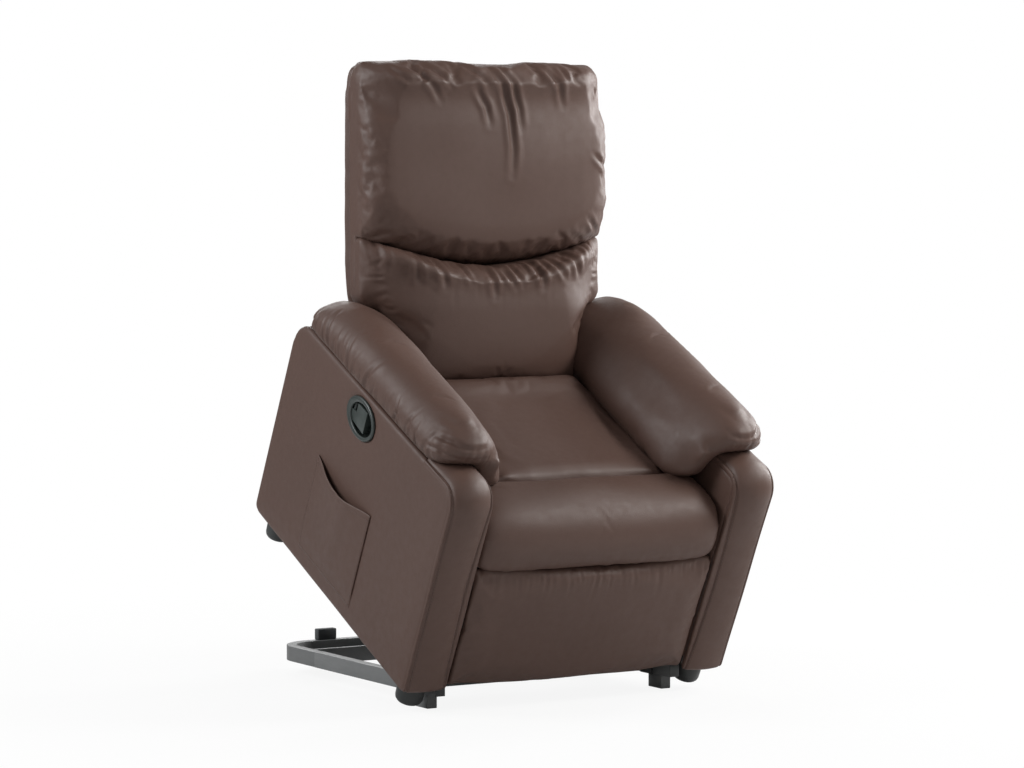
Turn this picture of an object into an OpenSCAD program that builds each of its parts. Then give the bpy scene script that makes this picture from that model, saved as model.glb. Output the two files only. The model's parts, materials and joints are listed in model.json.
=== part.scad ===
// Lift recliner chair, drawn in its raised position.
// Millimetres, +Z up, the chair faces -Y, +X is to the right of someone looking at its front.
// The origin is on the floor, midway between the front of the raised arms and the rear of the base.
// Everything that rises is drawn in the seat frame: y runs back from the arm fronts and z runs up
// from the lower edge of the side panels. raised_body() then tilts it to its place on the base.

/* [Chair] */
// Clear width between the two arms
seat_w = 562; // [540:1:600]
// Width of each arm
arm_w = 99; // [90:1:120]
// Length of the side panels from front to back
body_l = 724; // [700:1:760]
// Height of the side panels
panel_h = 462; // [455:1:480]
// Thickness of the outer side panels
side_t = 18; // [14:1:24]
// Thickness of the padded arm fronts
front_t = 22; // [16:1:26]
// Radius of the upper front corner of the arms
front_r = 46; // [36:1:56]
// Radius of the upper rear corner of the arms
rear_r = 58; // [40:1:66]
// Height of an arm pad over the panel
pad_h = 98; // [80:1:110]
// How far the pads droop on the inner side of the arms
pad_droop = 77; // [60:1:80]
// Height of the floor glides
glide_h = 47.5; // [46:0.5:52]
// Radius of the floor glides
glide_r = 29.5; // [22:0.5:30]

/* [Seat] */
// Height of the seat rails over the panels' lower edge
seat_z = 287; // [283:1:292]
// Thickness of the seat cushion
seat_t = 112; // [90:1:120]
// Depth of the front roll
roll_l = 151; // [140:1:160]
// Height of the front roll
roll_h = 126; // [115:1:132]
// Number of zigzag springs
spring_count = 5; // [3:1:6]

/* [Backrest] */
// Lean of the backrest from the seat frame's upright
back_lean = 26.3; // [20:0.1:30]
// Width of the head cushion
head_w = 580; // [540:1:600]
// Length of the head cushion from its seam to the top
head_l = 352; // [330:1:370]
// Thickness of the head cushion
head_t = 88; // [70:1:95]
// Length of the lumbar cushion
lumbar_l = 322; // [310:1:330]
// Thickness of the lumbar cushion
lumbar_t = 110; // [95:1:118]
// Thickness of the rear cover
cover_t = 66; // [55:1:80]

/* [Footrest] */
// Gap between the footrest cushion and each arm
foot_side = 8; // [5:0.5:20]
// Height of the footrest cushion when stowed
foot_h = 257; // [240:1:257]
// Thickness of the footrest cushion
foot_t = 36; // [28:1:40]
// Thickness of the footrest board
board_t = 15; // [12:1:18]

/* [Lift base] */
// Overall width of the base
base_w = 582; // [560:1:582]
// Overall length of the base
base_l = 702; // [690:1:702]
// Width of the base tubes
tube_w = 23; // [18:1:26]
// Height of the base tubes
tube_h = 32; // [28:1:32]
// Wall of the base tubes
tube_wall = 2; // [1.5:0.5:3]
// Height of the feet under the base
base_z = 28; // [24:0.5:28]
// Outer radius of the rear bends
bend_r = 80; // [70:1:95]
// Depth of the rear tray with its tube
tray_l = 150; // [140:1:170]
// Forward lean of the raised chair
lift_tilt = 26.3; // [22:0.1:27]

/* [Mechanism] */
// Thickness of the links and plates
link_t = 6; // [4:0.5:6]
// Width of the lift arms
arm_bar_w = 34; // [28:1:36]
// Width of the footrest links
foot_bar_w = 20; // [16:1:22]
// Radius of the lift pivots
lift_pin_r = 6; // [5:0.5:7]
// Radius of the footrest pivots
foot_pin_r = 4; // [3:0.5:5]
// Radius of the actuator rod
rod_r = 9; // [7:0.5:11]
// Travel of the actuator rod
stroke = 52; // [50:1:62]

/* [Side pocket and release] */
// Length of the pocket along the panel
pocket_l = 245; // [200:1:260]
// Height of the pocket
pocket_h = 215; // [160:1:225]
// How far the mouth of the pocket gapes
pocket_gape = 15; // [10:1:24]
// Length of the oval release bezel
bezel_l = 119; // [105:1:125]
// Height of the oval release bezel
bezel_h = 84; // [78:1:90]

/* [Hidden] */
$fn = 48;

// Clearances
fit = 0.05;        // running clearance of a pin in its bore
seat_gap = 0.3;    // between pieces that rest against each other
plane_gap = 1;     // between neighbouring link planes
soft_gap = 2;      // between neighbouring soft pieces
eps = 0.01;
graze = 0.06;      // a straight side lies this far inside the arc that it joins

// Colours
leather = [0.31, 0.26, 0.24];
steel = [0.35, 0.36, 0.36];
black = [0.08, 0.08, 0.09];
zinc = [0.72, 0.72, 0.70];
timber = [0.72, 0.58, 0.40];

// Seat frame places, as [y, z]
inner_x = seat_w / 2;
outer_x = inner_x + arm_w;
foot_w = seat_w - 2 * foot_side;
front_y = -8;
rear_y = front_y + body_l;
panel_r = 12;
rail_t = 25;
rail_w = 23;
rail_z = seat_z - rail_t;
side_room = 32;    // between the mechanism plates and the inner faces of the arms
bracket_t = 5;     // thickness of the front links' brackets

// Link planes, measured outwards from the centre: inner links, drive links, plates, lift links.
// The plates stand as far out as the arms and the base's rails both allow.
plate_x = min(inner_x - side_room, base_w / 2 - tube_w - bracket_t - 2 * (link_t + plane_gap));
rail_x = plate_x;
drive_x = plate_x - plane_gap - link_t;
upper_x = drive_x - plane_gap - link_t;
lift_link_x = plate_x + link_t + plane_gap;

// Lift linkage: the pivots on the seat frame, and the height of those on the base
arm_end = [586, 65.5];
link_end = [242, 66];
arm_pivot_z = 109.6;
link_pivot_z = 106.2;
raised_at = [-259.5, 44.6];
lowered_at = [-263.5, glide_h];
link_slack = 2;    // extra radius of the front links' open pivot

function turn(p, a) = [p.x * cos(a) - p.y * sin(a), p.x * sin(a) + p.y * cos(a)];
function raised(p) = turn(p, lift_tilt) + raised_at;
// The base pivot lies at height z on the line equally far from both ends of a pivot's travel
function base_pivot(p, z) = let (low = p + lowered_at, high = raised(p), mid = (low + high) / 2,
    way = high - low)
    [mid.x - (z - mid.y) * way.y / way.x, z];
function bearing(p, q) = atan2(q.y - p.y, q.x - p.x);

arm_pivot = base_pivot(arm_end, arm_pivot_z);
link_pivot = base_pivot(link_end, link_pivot_z);
arm_lift = bearing(arm_pivot, raised(arm_end)) - bearing(arm_pivot, arm_end + lowered_at);

// Base places in the world frame
base_rear = 463.5;
base_front = base_rear - base_l;
base_x = base_w / 2;
base_top = base_z + tube_h;
rear_l = 188;      // from the rear of the base to the joint between rail and bend
base_joint_y = base_rear - rear_l;
bend_y = base_rear - bend_r;
tray_y = base_rear - tray_l;
crossbar_l = 50;
crossbar_lead = 26; // how far the crossbar starts ahead of the lift arms' pivots
crossbar_y = arm_pivot.x - crossbar_lead;
foot_block_l = 50;
foot_inset = 30.5;
foot_block_y = base_front + foot_inset;
rest_w = 45;
rest_inset = 19;   // between a rest block and the bend beside it
rest_x = base_x - bend_r - rest_inset - rest_w;
rest_h = 24;
rest_t = 18;
sheet_t = 2;

// Torque tube and actuator
torque_r = 13;
torque_at = 45;    // distance of the torque tube from the lift arms' lower pivots
lug_r = 84;        // distance of the rod end from the same pivots
lug_low = 82;      // bearing of the rod end with the chair lowered
torque_bearing = bearing(arm_pivot, raised(arm_end));
torque_point = arm_pivot + torque_at * [cos(torque_bearing), sin(torque_bearing)];
rod_point = arm_pivot + lug_r * [cos(lug_low + arm_lift), sin(lug_low + arm_lift)];
motor_inset = 120; // from the rear of the base to the actuator's lower pivot
motor_point = [base_rear - motor_inset, 100];
rod_lean = bearing(motor_point, rod_point);
rod_reach = norm(rod_point - motor_point);
lug_t = 5;
lug_x = 12;
motor_r = 24;
cylinder_r = 17;

// Footrest linkage in the seat frame, stowed
drive_pivot = [250, 249];
drive_bearing = -62.5;
drive_l = 120;
drive_tail = 36;
pivot_step = 64;   // between the drive and rear pivots
rear_pivot = drive_pivot + [pivot_step, 0];
drive_dir = [cos(drive_bearing), sin(drive_bearing)];
drive_end = drive_pivot + drive_l * drive_dir;
tail_end = drive_pivot + (drive_l + drive_tail) * drive_dir;
rear_end = rear_pivot + drive_l * drive_dir;
board_y = front_y - 6 + foot_t;
foot_z = 14;
upper_eye = [board_y + board_t + 25, 240];
lower_eye = upper_eye + drive_tail * drive_dir;
drive_tube_r = 10;

// Backrest places: s runs up the back and t through it, from the seat frame's origin
back_pivot = [560, 340];
function back_s(p) = p.x * sin(back_lean) + p.y * cos(back_lean);
function back_t(p) = p.x * cos(back_lean) - p.y * sin(back_lean);
pivot_s = back_s(back_pivot);
pivot_t = back_t(back_pivot);
back_plane = pivot_t + 1;
lumbar_s = pivot_s + 20;
seam_s = lumbar_s + lumbar_l;
top_s = seam_s + soft_gap + head_l;
seam_sag = 60;     // how far the seam between the cushions dips in the middle
shoulder_r = 212;  // the wide part of the back stays outside this radius round the hinge
back_room = 59;    // beside the narrow part of the back, for the arm pads
narrow_w = seat_w - 2 * back_room;
post_w = 25;
post_inset = 7;
post_x = narrow_w / 2 - post_inset - post_w;
hinge_r = 12;

// Release handle and pocket, in the seat frame
bezel_drop = 54;   // from the top of the panel to the bezel's centre
bezel_at = [380, panel_h - bezel_drop];
bezel_t = 4;
bezel_rim = 9;     // width of the bezel's flat ring
cup_depth = 34;
cup_wall = 2;
cup_gap = 1;       // between the cup and the edge of its hole
lever_t = 5;
pocket_at = [256, 39];
pocket_t = 3;

// ---------- Helpers ----------

module both() {
    children();
    mirror([1, 0, 0]) children();
}

module raised_body() translate([0, raised_at.x, raised_at.y]) rotate([lift_tilt, 0, 0]) children();

// Back frame: x, t, s become x, y, z of the seat frame
module back_body() raised_body() rotate([-back_lean, 0, 0]) children();

// A flat shape in the y-z plane, from x to x + t
module plate_yz(x, t) translate([x, 0, 0]) rotate([90, 0, 90]) linear_extrude(t) children();

module box(from, to) translate(from) cube(to - from);

// A link's outline: round ends, with sides a hair inside them so that no face only grazes another
module bar2d(p, q, w) {
    translate(p) circle(w / 2);
    translate(q) circle(w / 2);
    translate(p) rotate(bearing(p, q)) translate([0, graze - w / 2]) square([norm(q - p), w - 2 * graze]);
}

// A rectangle whose corners have their own radii, listed from the lower left and anticlockwise
module soft_rect(from, to, r) {
    polygon([[from.x + r[0], from.y], [to.x - r[1], from.y], [to.x, from.y + r[1]], [to.x, to.y - r[2]],
        [to.x - r[2], to.y], [from.x + r[3], to.y], [from.x, to.y - r[3]], [from.x, from.y + r[0]]]);
    corners = [from, [to.x, from.y], to, [from.x, to.y]];
    inward = [[1, 1], [-1, 1], [-1, -1], [1, -1]];
    for (i = [0:3])
        if (r[i] > 0)
            translate([corners[i].x + inward[i].x * r[i], corners[i].y + inward[i].y * r[i]])
                circle(r[i]);
}

function oval(l, h, count = 64) =
    [for (i = [0:count - 1]) [l / 2 * cos(360 * i / count), h / 2 * sin(360 * i / count)]];

module tube_box(size, wall) {
    difference() {
        cube(size);
        translate([-1, wall, wall]) cube([size.x + 2, size.y - 2 * wall, size.z - 2 * wall]);
    }
}

module pin_x(x, l, p, r) translate([x, p.x, p.y]) rotate([0, 90, 0]) cylinder(l, r = r);

// A rivet through link planes: shank from x to x + l with a head beyond each end
module rivet_x(x, l, p, r, head) {
    pin_x(x - head, head, p, r * 1.6);
    pin_x(x, l, p, r);
    pin_x(x + l, head, p, r * 1.6);
}

// ---------- Soft forms ----------

function power(c, n) = sign(c) * pow(abs(c), 2 / n);
function fall(u, n, k) = pow(max(0, 1 - pow(abs(u), n)), 1 / k);
function ease(u) = let (c = min(1, max(0, u))) c * c * (3 - 2 * c);
// Outline of a padded slab, [across, through], with evenly spread points: the first half is one face
function slab(i, m, p, q) = let (u = i < m ? 2 * i / m - 1 : 3 - 2 * i / m, c = sin(90 * u))
    [c, (i < m ? -1 : 1) * pow(max(0, 1 - pow(abs(c), p)), 1 / q)];
// Smooth run through points, with steps between each two
function bow(points, steps) = let (m = len(points)) concat([for (i = [0:m - 2], k = [0:steps - 1]) let (
    b = points[i], c = points[i + 1], a = i > 0 ? points[i - 1] : 2 * b - c,
        d = i < m - 2 ? points[i + 2] : 2 * c - b, t = k / steps)
    b + t * ((c - a) / 2 + t * ((2 * a - 5 * b + 4 * c - d) / 2 + t * (3 * b - a - 3 * c + d) / 2))],
        [points[m - 1]]);
function cosines(count) = [for (i = [0:count]) -cos(180 * i / count)];

// A closed skin over rings of equal length, in order, each running anticlockwise about the way that
// the rings go. Each end is closed by strips across the ring, or as a fan about its middle.
function strips(first, m) =
    concat([[first, first + 1, first + m - 1], [first + m / 2 - 1, first + m / 2, first + m / 2 + 1]],
    [for (i = [1:m / 2 - 2]) each [[first + i, first + i + 1, first + m - i - 1],
        [first + i, first + m - i - 1, first + m - i]]]);
function fan(first, m, hub) = [for (i = [0:m - 1]) [hub, first + i, first + (i + 1) % m]];

module skin(rings, fans = false) {
    count = len(rings);
    m = len(rings[0]);
    points = [for (ring = rings) for (p = ring) p];
    hubs = [for (ring = [rings[0], rings[count - 1]]) [for (p = ring) 1] * ring / m];
    sides = [for (k = [0:count - 2], i = [0:m - 1]) let (j = (i + 1) % m)
        each [[k * m + i, (k + 1) * m + j, k * m + j], [k * m + i, (k + 1) * m + i, (k + 1) * m + j]]];
    last = (count - 1) * m;
    low = fans ? fan(0, m, count * m) : strips(0, m);
    high = [for (f = fans ? fan(last, m, count * m + 1) : strips(last, m)) [f[0], f[2], f[1]]];
    polyhedron(fans ? concat(points, hubs) : points, concat(sides, low, high));
}

// ---------- Lift base ----------

module base_rail() {
    translate([base_x - tube_w, base_joint_y, base_z]) rotate([0, 0, -90])
        tube_box([base_joint_y - base_front, tube_w, tube_h], tube_wall);
}

module base_rail_right() color(steel) difference() {
    base_rail();
    rail_bolt_holes();
}

module base_rail_left() color(steel) mirror([1, 0, 0]) difference() {
    base_rail();
    rail_bolt_holes();
}

rail_bolt_r = 3;
rail_bolts = [for (dy = [-12, 12]) [link_pivot.x + dy, base_z + tube_h / 2]];

module rail_bolt_holes() for (p = rail_bolts)
    pin_x(base_x - tube_w - 1, tube_wall + 2, p, rail_bolt_r + fit);

module tube_section() difference() {
    square([tube_w, tube_h]);
    translate([tube_wall, tube_wall]) square([tube_w - 2 * tube_wall, tube_h - 2 * tube_wall]);
}

module base_bend() {
    translate([base_x - tube_w, bend_y, base_z]) rotate([0, 0, -90])
        tube_box([bend_y - base_joint_y, tube_w, tube_h], tube_wall);
    translate([base_x - bend_r, bend_y, base_z]) rotate_extrude(angle = 90)
        translate([bend_r - tube_w, 0]) tube_section();
}

module base_bend_right() color(steel) base_bend();

module base_bend_left() color(steel) mirror([1, 0, 0]) base_bend();

module base_rear_tube() color(steel)
    translate([-(base_x - bend_r), base_rear - tube_w, base_z])
        tube_box([base_w - 2 * bend_r, tube_w, tube_h], tube_wall);

// Pressed tray between the rear tubes, with a front wall and a lip
module tray_outline(inset) {
    x = base_x - tube_w - inset;
    back = base_rear - tube_w - inset;
    r = bend_r - tube_w - inset;
    soft_rect([-x, tray_y + inset], [x, back], [0, 0, r, r]);
}

module base_tray() color(steel) {
    difference() {
        translate([0, 0, base_z]) linear_extrude(sheet_t) tray_outline(0);
        for (x = clevis_bolts_x) translate([x, clevis_bolt_y, base_z - 1])
            cylinder(sheet_t + 2, r = rail_bolt_r + fit);
    }
    box([-(base_x - tube_w), tray_y, base_z], [base_x - tube_w, tray_y + sheet_t, base_top]);
    box([-(base_x - tube_w), tray_y, base_top - sheet_t], [base_x - tube_w, tray_y + 9, base_top]);
}

module base_crossbar() color(steel) difference() {
    translate([-(base_x - tube_w), crossbar_y, base_z])
        tube_box([base_w - 2 * tube_w, crossbar_l, tube_h], tube_wall);
    both() for (p = flange_bolts) translate([p.x, p.y, base_top - tube_wall - 1])
        cylinder(tube_wall + 2, r = rail_bolt_r + fit);
}

module front_foot_blocks() color(steel) both()
    box([base_x - tube_w, foot_block_y, 0], [base_x, foot_block_y + foot_block_l, base_z]);

foot_pad = [50, 37];
foot_pad_r = 6;
foot_pad_inset = 4;

module rear_foot_pads() color(black) both()
    translate([rest_x - 7, base_rear - foot_pad_inset - foot_pad.y, 0]) linear_extrude(base_z)
        soft_rect([0, 0], foot_pad, [foot_pad_r, foot_pad_r, foot_pad_r, foot_pad_r]);

module rail_end_caps() color(black) both() {
    plug = tube_wall + seat_gap;
    box([base_x - tube_w + plug, base_front - eps, base_z + plug],
        [base_x - plug, base_front + 14, base_top - plug]);
    box([base_x - tube_w, base_front - 2, base_z], [base_x, base_front, base_top]);
}

module rest_blocks() color(black) both()
    box([rest_x, base_rear - rest_t, base_top], [rest_x + rest_w, base_rear, base_top + rest_h]);

// Brackets that carry the lift arms, on the crossbar
bracket_l = 44;
flange_bolts = [for (dy = [-12, 12]) [upper_x - 12, arm_pivot.x + dy]];

module arm_brackets() color(steel) both() difference() {
    union() {
        plate_yz(upper_x, link_t) {
            translate([arm_pivot.x - bracket_l / 2 + graze, base_top])
                square([bracket_l - 2 * graze, arm_pivot.y - base_top]);
            translate(arm_pivot) circle(bracket_l / 2);
        }
        box([upper_x - 24, arm_pivot.x - bracket_l / 2, base_top],
            [upper_x + eps, arm_pivot.x + bracket_l / 2, base_top + 3]);
    }
    pin_x(upper_x - 1, link_t + 2, arm_pivot, lift_pin_r + fit);
    for (p = flange_bolts) translate([p.x, p.y, base_top - 1]) cylinder(5, r = rail_bolt_r + fit);
}

// Brackets that carry the front links, on the inner faces of the rails
link_bracket_r = 20;
link_bracket_x = lift_link_x + link_t + plane_gap;
sleeve_l = base_x - tube_w - link_bracket_x - bracket_t;   // where the rails stand further out

module link_brackets() color(steel) both() difference() {
    union() {
        plate_yz(link_bracket_x, bracket_t) {
            translate([link_pivot.x - link_bracket_r + graze, base_z])
                square([2 * link_bracket_r - 2 * graze, link_pivot.y - base_z]);
            translate(link_pivot) circle(link_bracket_r);
        }
        if (sleeve_l > eps)
            for (p = rail_bolts)
                pin_x(link_bracket_x + bracket_t - eps, sleeve_l + eps, p, 2 * rail_bolt_r);
    }
    pin_x(link_bracket_x - 1, bracket_t + 2, link_pivot, lift_pin_r + fit);
    for (p = rail_bolts)
        pin_x(link_bracket_x - 1, bracket_t + sleeve_l + 2, p, rail_bolt_r + fit);
}

// Clevis that carries the actuator, on the tray
clevis_x = 20;
clevis_t = 5;
clevis_bolts_x = [-clevis_x - 14, clevis_x + 14];
clevis_bolt_y = motor_point.x + 12;

module actuator_clevis() color(steel) difference() {
    union() {
        both() plate_yz(clevis_x, clevis_t) {
            translate([motor_point.x - 16 + graze, base_z + sheet_t])
                square([40 - graze, motor_point.y - base_z - sheet_t]);
            translate(motor_point) circle(16);
        }
        box([-clevis_x - 22, motor_point.x - 16, base_z + sheet_t],
            [clevis_x + 22, motor_point.x + 24, base_z + sheet_t + 3]);
    }
    pin_x(-clevis_x - clevis_t - 1, 2 * (clevis_x + clevis_t + 1), motor_point, lift_pin_r + fit);
    for (x = clevis_bolts_x) translate([x, clevis_bolt_y, base_z]) cylinder(8, r = rail_bolt_r + fit);
}

pin_head = 2.5;

module base_pivot_pins() color(zinc) {
    both() {
        rivet_x(upper_x - seat_gap, drive_x + link_t - upper_x + 2 * seat_gap, arm_pivot, lift_pin_r,
            pin_head);
        rivet_x(lift_link_x - seat_gap, link_bracket_x + bracket_t - lift_link_x + 2 * seat_gap,
            link_pivot, lift_pin_r, pin_head);
    }
    rivet_x(-clevis_x - clevis_t - seat_gap, 2 * (clevis_x + clevis_t + seat_gap), motor_point,
        lift_pin_r, pin_head);
}

module bolt(l) {
    cylinder(4, r = 5.5, $fn = 6);
    translate([0, 0, -l]) cylinder(l + eps, r = rail_bolt_r);
}

module bracket_bolts() color(zinc) {
    both() {
        for (p = flange_bolts) translate([p.x, p.y, base_top + 3]) bolt(8);
        for (p = rail_bolts) translate([link_bracket_x, p.x, p.y])
            rotate([0, -90, 0]) bolt(bracket_t + sleeve_l + 8);
    }
    for (x = clevis_bolts_x) translate([x, clevis_bolt_y, base_z + sheet_t + 3]) bolt(8);
}

// ---------- Lift arms, front links and actuator ----------

module lift_arm() difference() {
    plate_yz(drive_x, link_t) bar2d(arm_pivot, raised(arm_end), arm_bar_w);
    for (p = [arm_pivot, raised(arm_end)]) pin_x(drive_x - 1, link_t + 2, p, lift_pin_r + fit);
}

module lift_arm_right() color(steel) lift_arm();

module lift_arm_left() color(steel) mirror([1, 0, 0]) lift_arm();

module torque_tube() color(steel) {
    difference() {
        union() {
            pin_x(-drive_x, 2 * drive_x, torque_point, torque_r);
            both() plate_yz(lug_x, lug_t) bar2d(torque_point, rod_point, 30);
        }
        pin_x(-drive_x - 1, 2 * drive_x + 2, torque_point, torque_r - 2.5);
        pin_x(-lug_x - lug_t - 1, 2 * (lug_x + lug_t + 1), rod_point, lift_pin_r + rod_slack);
    }
}

module front_lift_links() color(steel) both() difference() {
    plate_yz(lift_link_x, link_t) bar2d(link_pivot, raised(link_end), 32);
    pin_x(lift_link_x - 1, link_t + 2, link_pivot, lift_pin_r + fit);
    pin_x(lift_link_x - 1, link_t + 2, raised(link_end), lift_pin_r + link_slack);
}

// Actuator axis: x along the rod from the motor pivot to the rod end
module on_rod() translate([0, motor_point.x, motor_point.y]) rotate([rod_lean, 0, 0]) children();

rod_slack = 2.6;   // extra radius of the actuator's open pivot
neck_l = 20;       // from the lower pivot to the gearbox
gearbox_l = 78;
gearbox_h = 52;
motor_l = 51;
eye_r = 14;
head_room = 48;    // between the tube's end and the rod end, beyond the travel
gearbox_end = neck_l + gearbox_l;
cylinder_end = rod_reach - stroke - head_room;
rod_eye_w = 2 * lug_x - 2 * plane_gap;

module actuator_motor() color(black) on_rod() difference() {
    union() {
        half_w = clevis_x - plane_gap;
        box([-half_w, neck_l, -gearbox_h / 2], [half_w, gearbox_end, gearbox_h / 2]);
        translate([-half_w, 0, 0]) rotate([0, 90, 0]) cylinder(2 * half_w, r = eye_r);
        box([-half_w, 0, -eye_r], [half_w, neck_l + 1, eye_r]);
        translate([0, neck_l + gearbox_l / 2, -gearbox_h / 2 + 1]) rotate([180, 0, 0]) {
            cylinder(motor_l, r = motor_r - 6);
            cylinder(0.72 * motor_l, r = motor_r - 3);
        }
    }
    translate([-clevis_x, 0, 0]) rotate([0, 90, 0]) cylinder(2 * clevis_x, r = lift_pin_r + fit);
}

module actuator_tube() color(steel) on_rod() difference() {
    translate([0, gearbox_end, 0]) rotate([-90, 0, 0])
        cylinder(cylinder_end - gearbox_end, r = cylinder_r);
    translate([0, gearbox_end + 8, 0]) rotate([-90, 0, 0]) cylinder(cylinder_end, r = rod_r + fit);
}

module actuator_rod() color(zinc) on_rod() difference() {
    union() {
        translate([0, gearbox_end + 12 + stroke, 0]) rotate([-90, 0, 0])
            cylinder(rod_reach - gearbox_end - 24 - stroke, r = rod_r);
        translate([-rod_eye_w / 2, rod_reach, 0]) rotate([0, 90, 0]) cylinder(rod_eye_w, r = eye_r);
        translate([-lug_x - lug_t - plane_gap, rod_reach, 0]) rotate([0, 90, 0])
            cylinder(2 * (lug_x + lug_t + plane_gap), r = lift_pin_r);
        for (side = [0, 1]) mirror([side, 0, 0]) translate([lug_x + lug_t + plane_gap, rod_reach, 0])
            rotate([0, 90, 0]) cylinder(pin_head, r = 13);
    }
}

// ---------- Seat box and mechanism ----------

bolt_rows = [190, 300, 420, 505];
plate_from = 150;  // front end of the mechanism plates

module mechanism_plate() difference() {
    plate_yz(plate_x, link_t) {
        soft_rect([plate_from, drive_pivot.y - 16], [arm_end.x + 12, seat_z - 2], [8, 8, 8, 8]);
        bar2d(link_end, arm_end, 36);
        soft_rect([link_end.x - 18 + graze, link_end.y], [arm_end.x + 18 - graze, drive_pivot.y],
            [0, 0, 8, 0]);
        bar2d([back_pivot.x, seat_z - 20], back_pivot, 44);
    }
    for (p = [arm_end, link_end]) pin_x(plate_x - 1, link_t + 2, p, lift_pin_r + fit);
    for (p = [drive_pivot, rear_pivot]) pin_x(plate_x - 1, link_t + 2, p, foot_pin_r + fit);
    pin_x(plate_x - 1, link_t + 2, back_pivot, lift_pin_r + fit);
    for (y = bolt_rows) pin_x(plate_x - 1, link_t + 2, [y, seat_z - rail_t / 2], rail_bolt_r + fit);
}

module mechanism_plate_right() color(steel) raised_body() mechanism_plate();

module mechanism_plate_left() color(steel) raised_body() mirror([1, 0, 0]) mechanism_plate();

rail_front_y = front_y - 12 + roll_l + seat_gap;
rail_rear_y = 487;
cross_rail_w = 26;
roll_z = seat_z - 11;
ledge_y = 60;

module seat_side_rails() color(steel) raised_body() both() difference() {
    box([rail_x - rail_w, rail_front_y, rail_z], [rail_x, rail_rear_y + 40, seat_z]);
    for (y = bolt_rows) pin_x(rail_x - 30, 31, [y, seat_z - rail_t / 2], rail_bolt_r + fit);
}

// Rails between the side rails, the ledge under the front roll and blocks beside the plates
module seat_cross_rails() color(timber) raised_body() {
    x = rail_x - rail_w;
    box([-x, rail_front_y, rail_z], [x, rail_front_y + cross_rail_w, seat_z]);
    box([-x, rail_rear_y - cross_rail_w, rail_z], [x, rail_rear_y, seat_z]);
    box([-inner_x + seat_gap, ledge_y, rail_z],
        [inner_x - seat_gap, rail_front_y - seat_gap, roll_z - seat_gap]);
    both() box([plate_x + link_t + seat_gap, rail_rear_y - cross_rail_w, rail_z],
        [inner_x - seat_gap, rail_rear_y, seat_z]);
}

// Zigzag springs from the front rail to the rear rail, each a chain of half turns
wire_r = 1.8;
half_turns = 12;
spring_from = rail_front_y + 12;
spring_pitch = (rail_rear_y - 12 - spring_from) / half_turns;
spring_half_w = 18;
spring_margin = 54; // between the outer springs' middles and the side rails
spring_step = 2 * (rail_x - rail_w - spring_margin) / (spring_count - 1);
cushion_z = seat_z + 2 * wire_r + seat_gap;

module zigzag() {
    for (i = [0:half_turns - 1])
        translate([(i % 2 == 0 ? 1 : -1) * spring_half_w, spring_from + (i + 0.5) * spring_pitch, 0])
            rotate([0, 0, i % 2 == 0 ? -90 : 90])
                rotate_extrude(angle = 180, $fn = 24) translate([spring_pitch / 2, 0])
                    circle(wire_r, $fn = 16);
    for (i = [0:half_turns])
        translate([-spring_half_w - 0.4, spring_from + i * spring_pitch, 0])
            rotate([0, 90, 0]) cylinder(2 * spring_half_w + 0.8, r = wire_r - 0.1, $fn = 16);
}

module seat_springs() color(zinc) raised_body()
    for (i = [0:spring_count - 1])
        translate([(i - (spring_count - 1) / 2) * spring_step, 0, seat_z + wire_r]) zigzag();

// Seat cushion: a crowned box between the front roll and the backrest
seat_half = inner_x - side_room - 6;
seat_from = front_y - 12 + roll_l + soft_gap;

module seat_cushion() color(leather) raised_body() {
    to = rail_rear_y + 26;
    mid = (seat_from + to) / 2;
    half = (to - seat_from) / 2;
    half_h = (seat_t - 10) / 2;
    skin([for (v = cosines(14)) [for (i = [0:27]) let (
        o = slab(i, 14, 6, 3),
        swell = fall(v, 8, 3),
        crown = o.y > 0 ? 10 * (1 - o.x * o.x) * (1 - v * v) - 16 * pow(abs(o.x), 8) : 0)
        [-o.x * seat_half * (0.98 + 0.02 * v * v) * (0.92 + 0.08 * swell),
            mid + v * half, cushion_z + half_h + o.y * half_h * (0.5 + 0.5 * swell) + crown * swell]]]);
}

module front_roll() color(leather) raised_body() {
    half_w = inner_x - 6;
    centre = [front_y - 12 + roll_l / 2, roll_z + roll_h / 2];
    skin([for (v = cosines(12)) [for (i = [0:31]) let (
        a = 360 * i / 32,
        swell = 0.74 + 0.26 * fall(v, 14, 3),
        drop = sin(a) > 0 ? 7 * pow(abs(v), 5) : 0)
        [v * half_w, centre.x + roll_l / 2 * swell * power(cos(a), 2.5),
            centre.y + roll_h / 2 * swell * power(sin(a), 2.7) - drop]]]);
}

// ---------- Arms ----------

module panel_shape() soft_rect([front_y, 0], [rear_y, panel_h], [panel_r, panel_r, rear_r, front_r]);

module side_panel_right() color(leather) raised_body() plate_yz(outer_x - side_t, side_t) panel_shape();

module side_panel_left() color(leather) raised_body() mirror([1, 0, 0])
    plate_yz(outer_x - side_t, side_t) difference() {
    panel_shape();
    translate(bezel_at) polygon(oval(cup_l + 2 * cup_gap, cup_h + 2 * cup_gap));
}

arm_top_y = 100;   // where the arm front gives way to the arm's top board

module arm_front() plate_yz(inner_x, arm_w - side_t - seat_gap) difference() {
    soft_rect([front_y, 0], [arm_top_y, panel_h], [panel_r, 0, 0, front_r]);
    soft_rect([front_y + front_t, -1], [arm_top_y + 1, panel_h - front_t], [0, 0, 0, front_r - front_t]);
}

module arm_front_right() color(leather) raised_body() arm_front();

module arm_front_left() color(leather) raised_body() mirror([1, 0, 0]) arm_front();

top_board_to = rear_y - side_t - seat_gap;

module arm_top_boards() color(leather) raised_body() both()
    box([inner_x, arm_top_y + seat_gap, panel_h - side_t],
        [outer_x - side_t - seat_gap, rear_y - rear_r - seat_gap, panel_h]);

inner_panel_t = 12;
inner_panel_z = 28;
inner_y = front_y + front_t + seat_gap;

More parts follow.
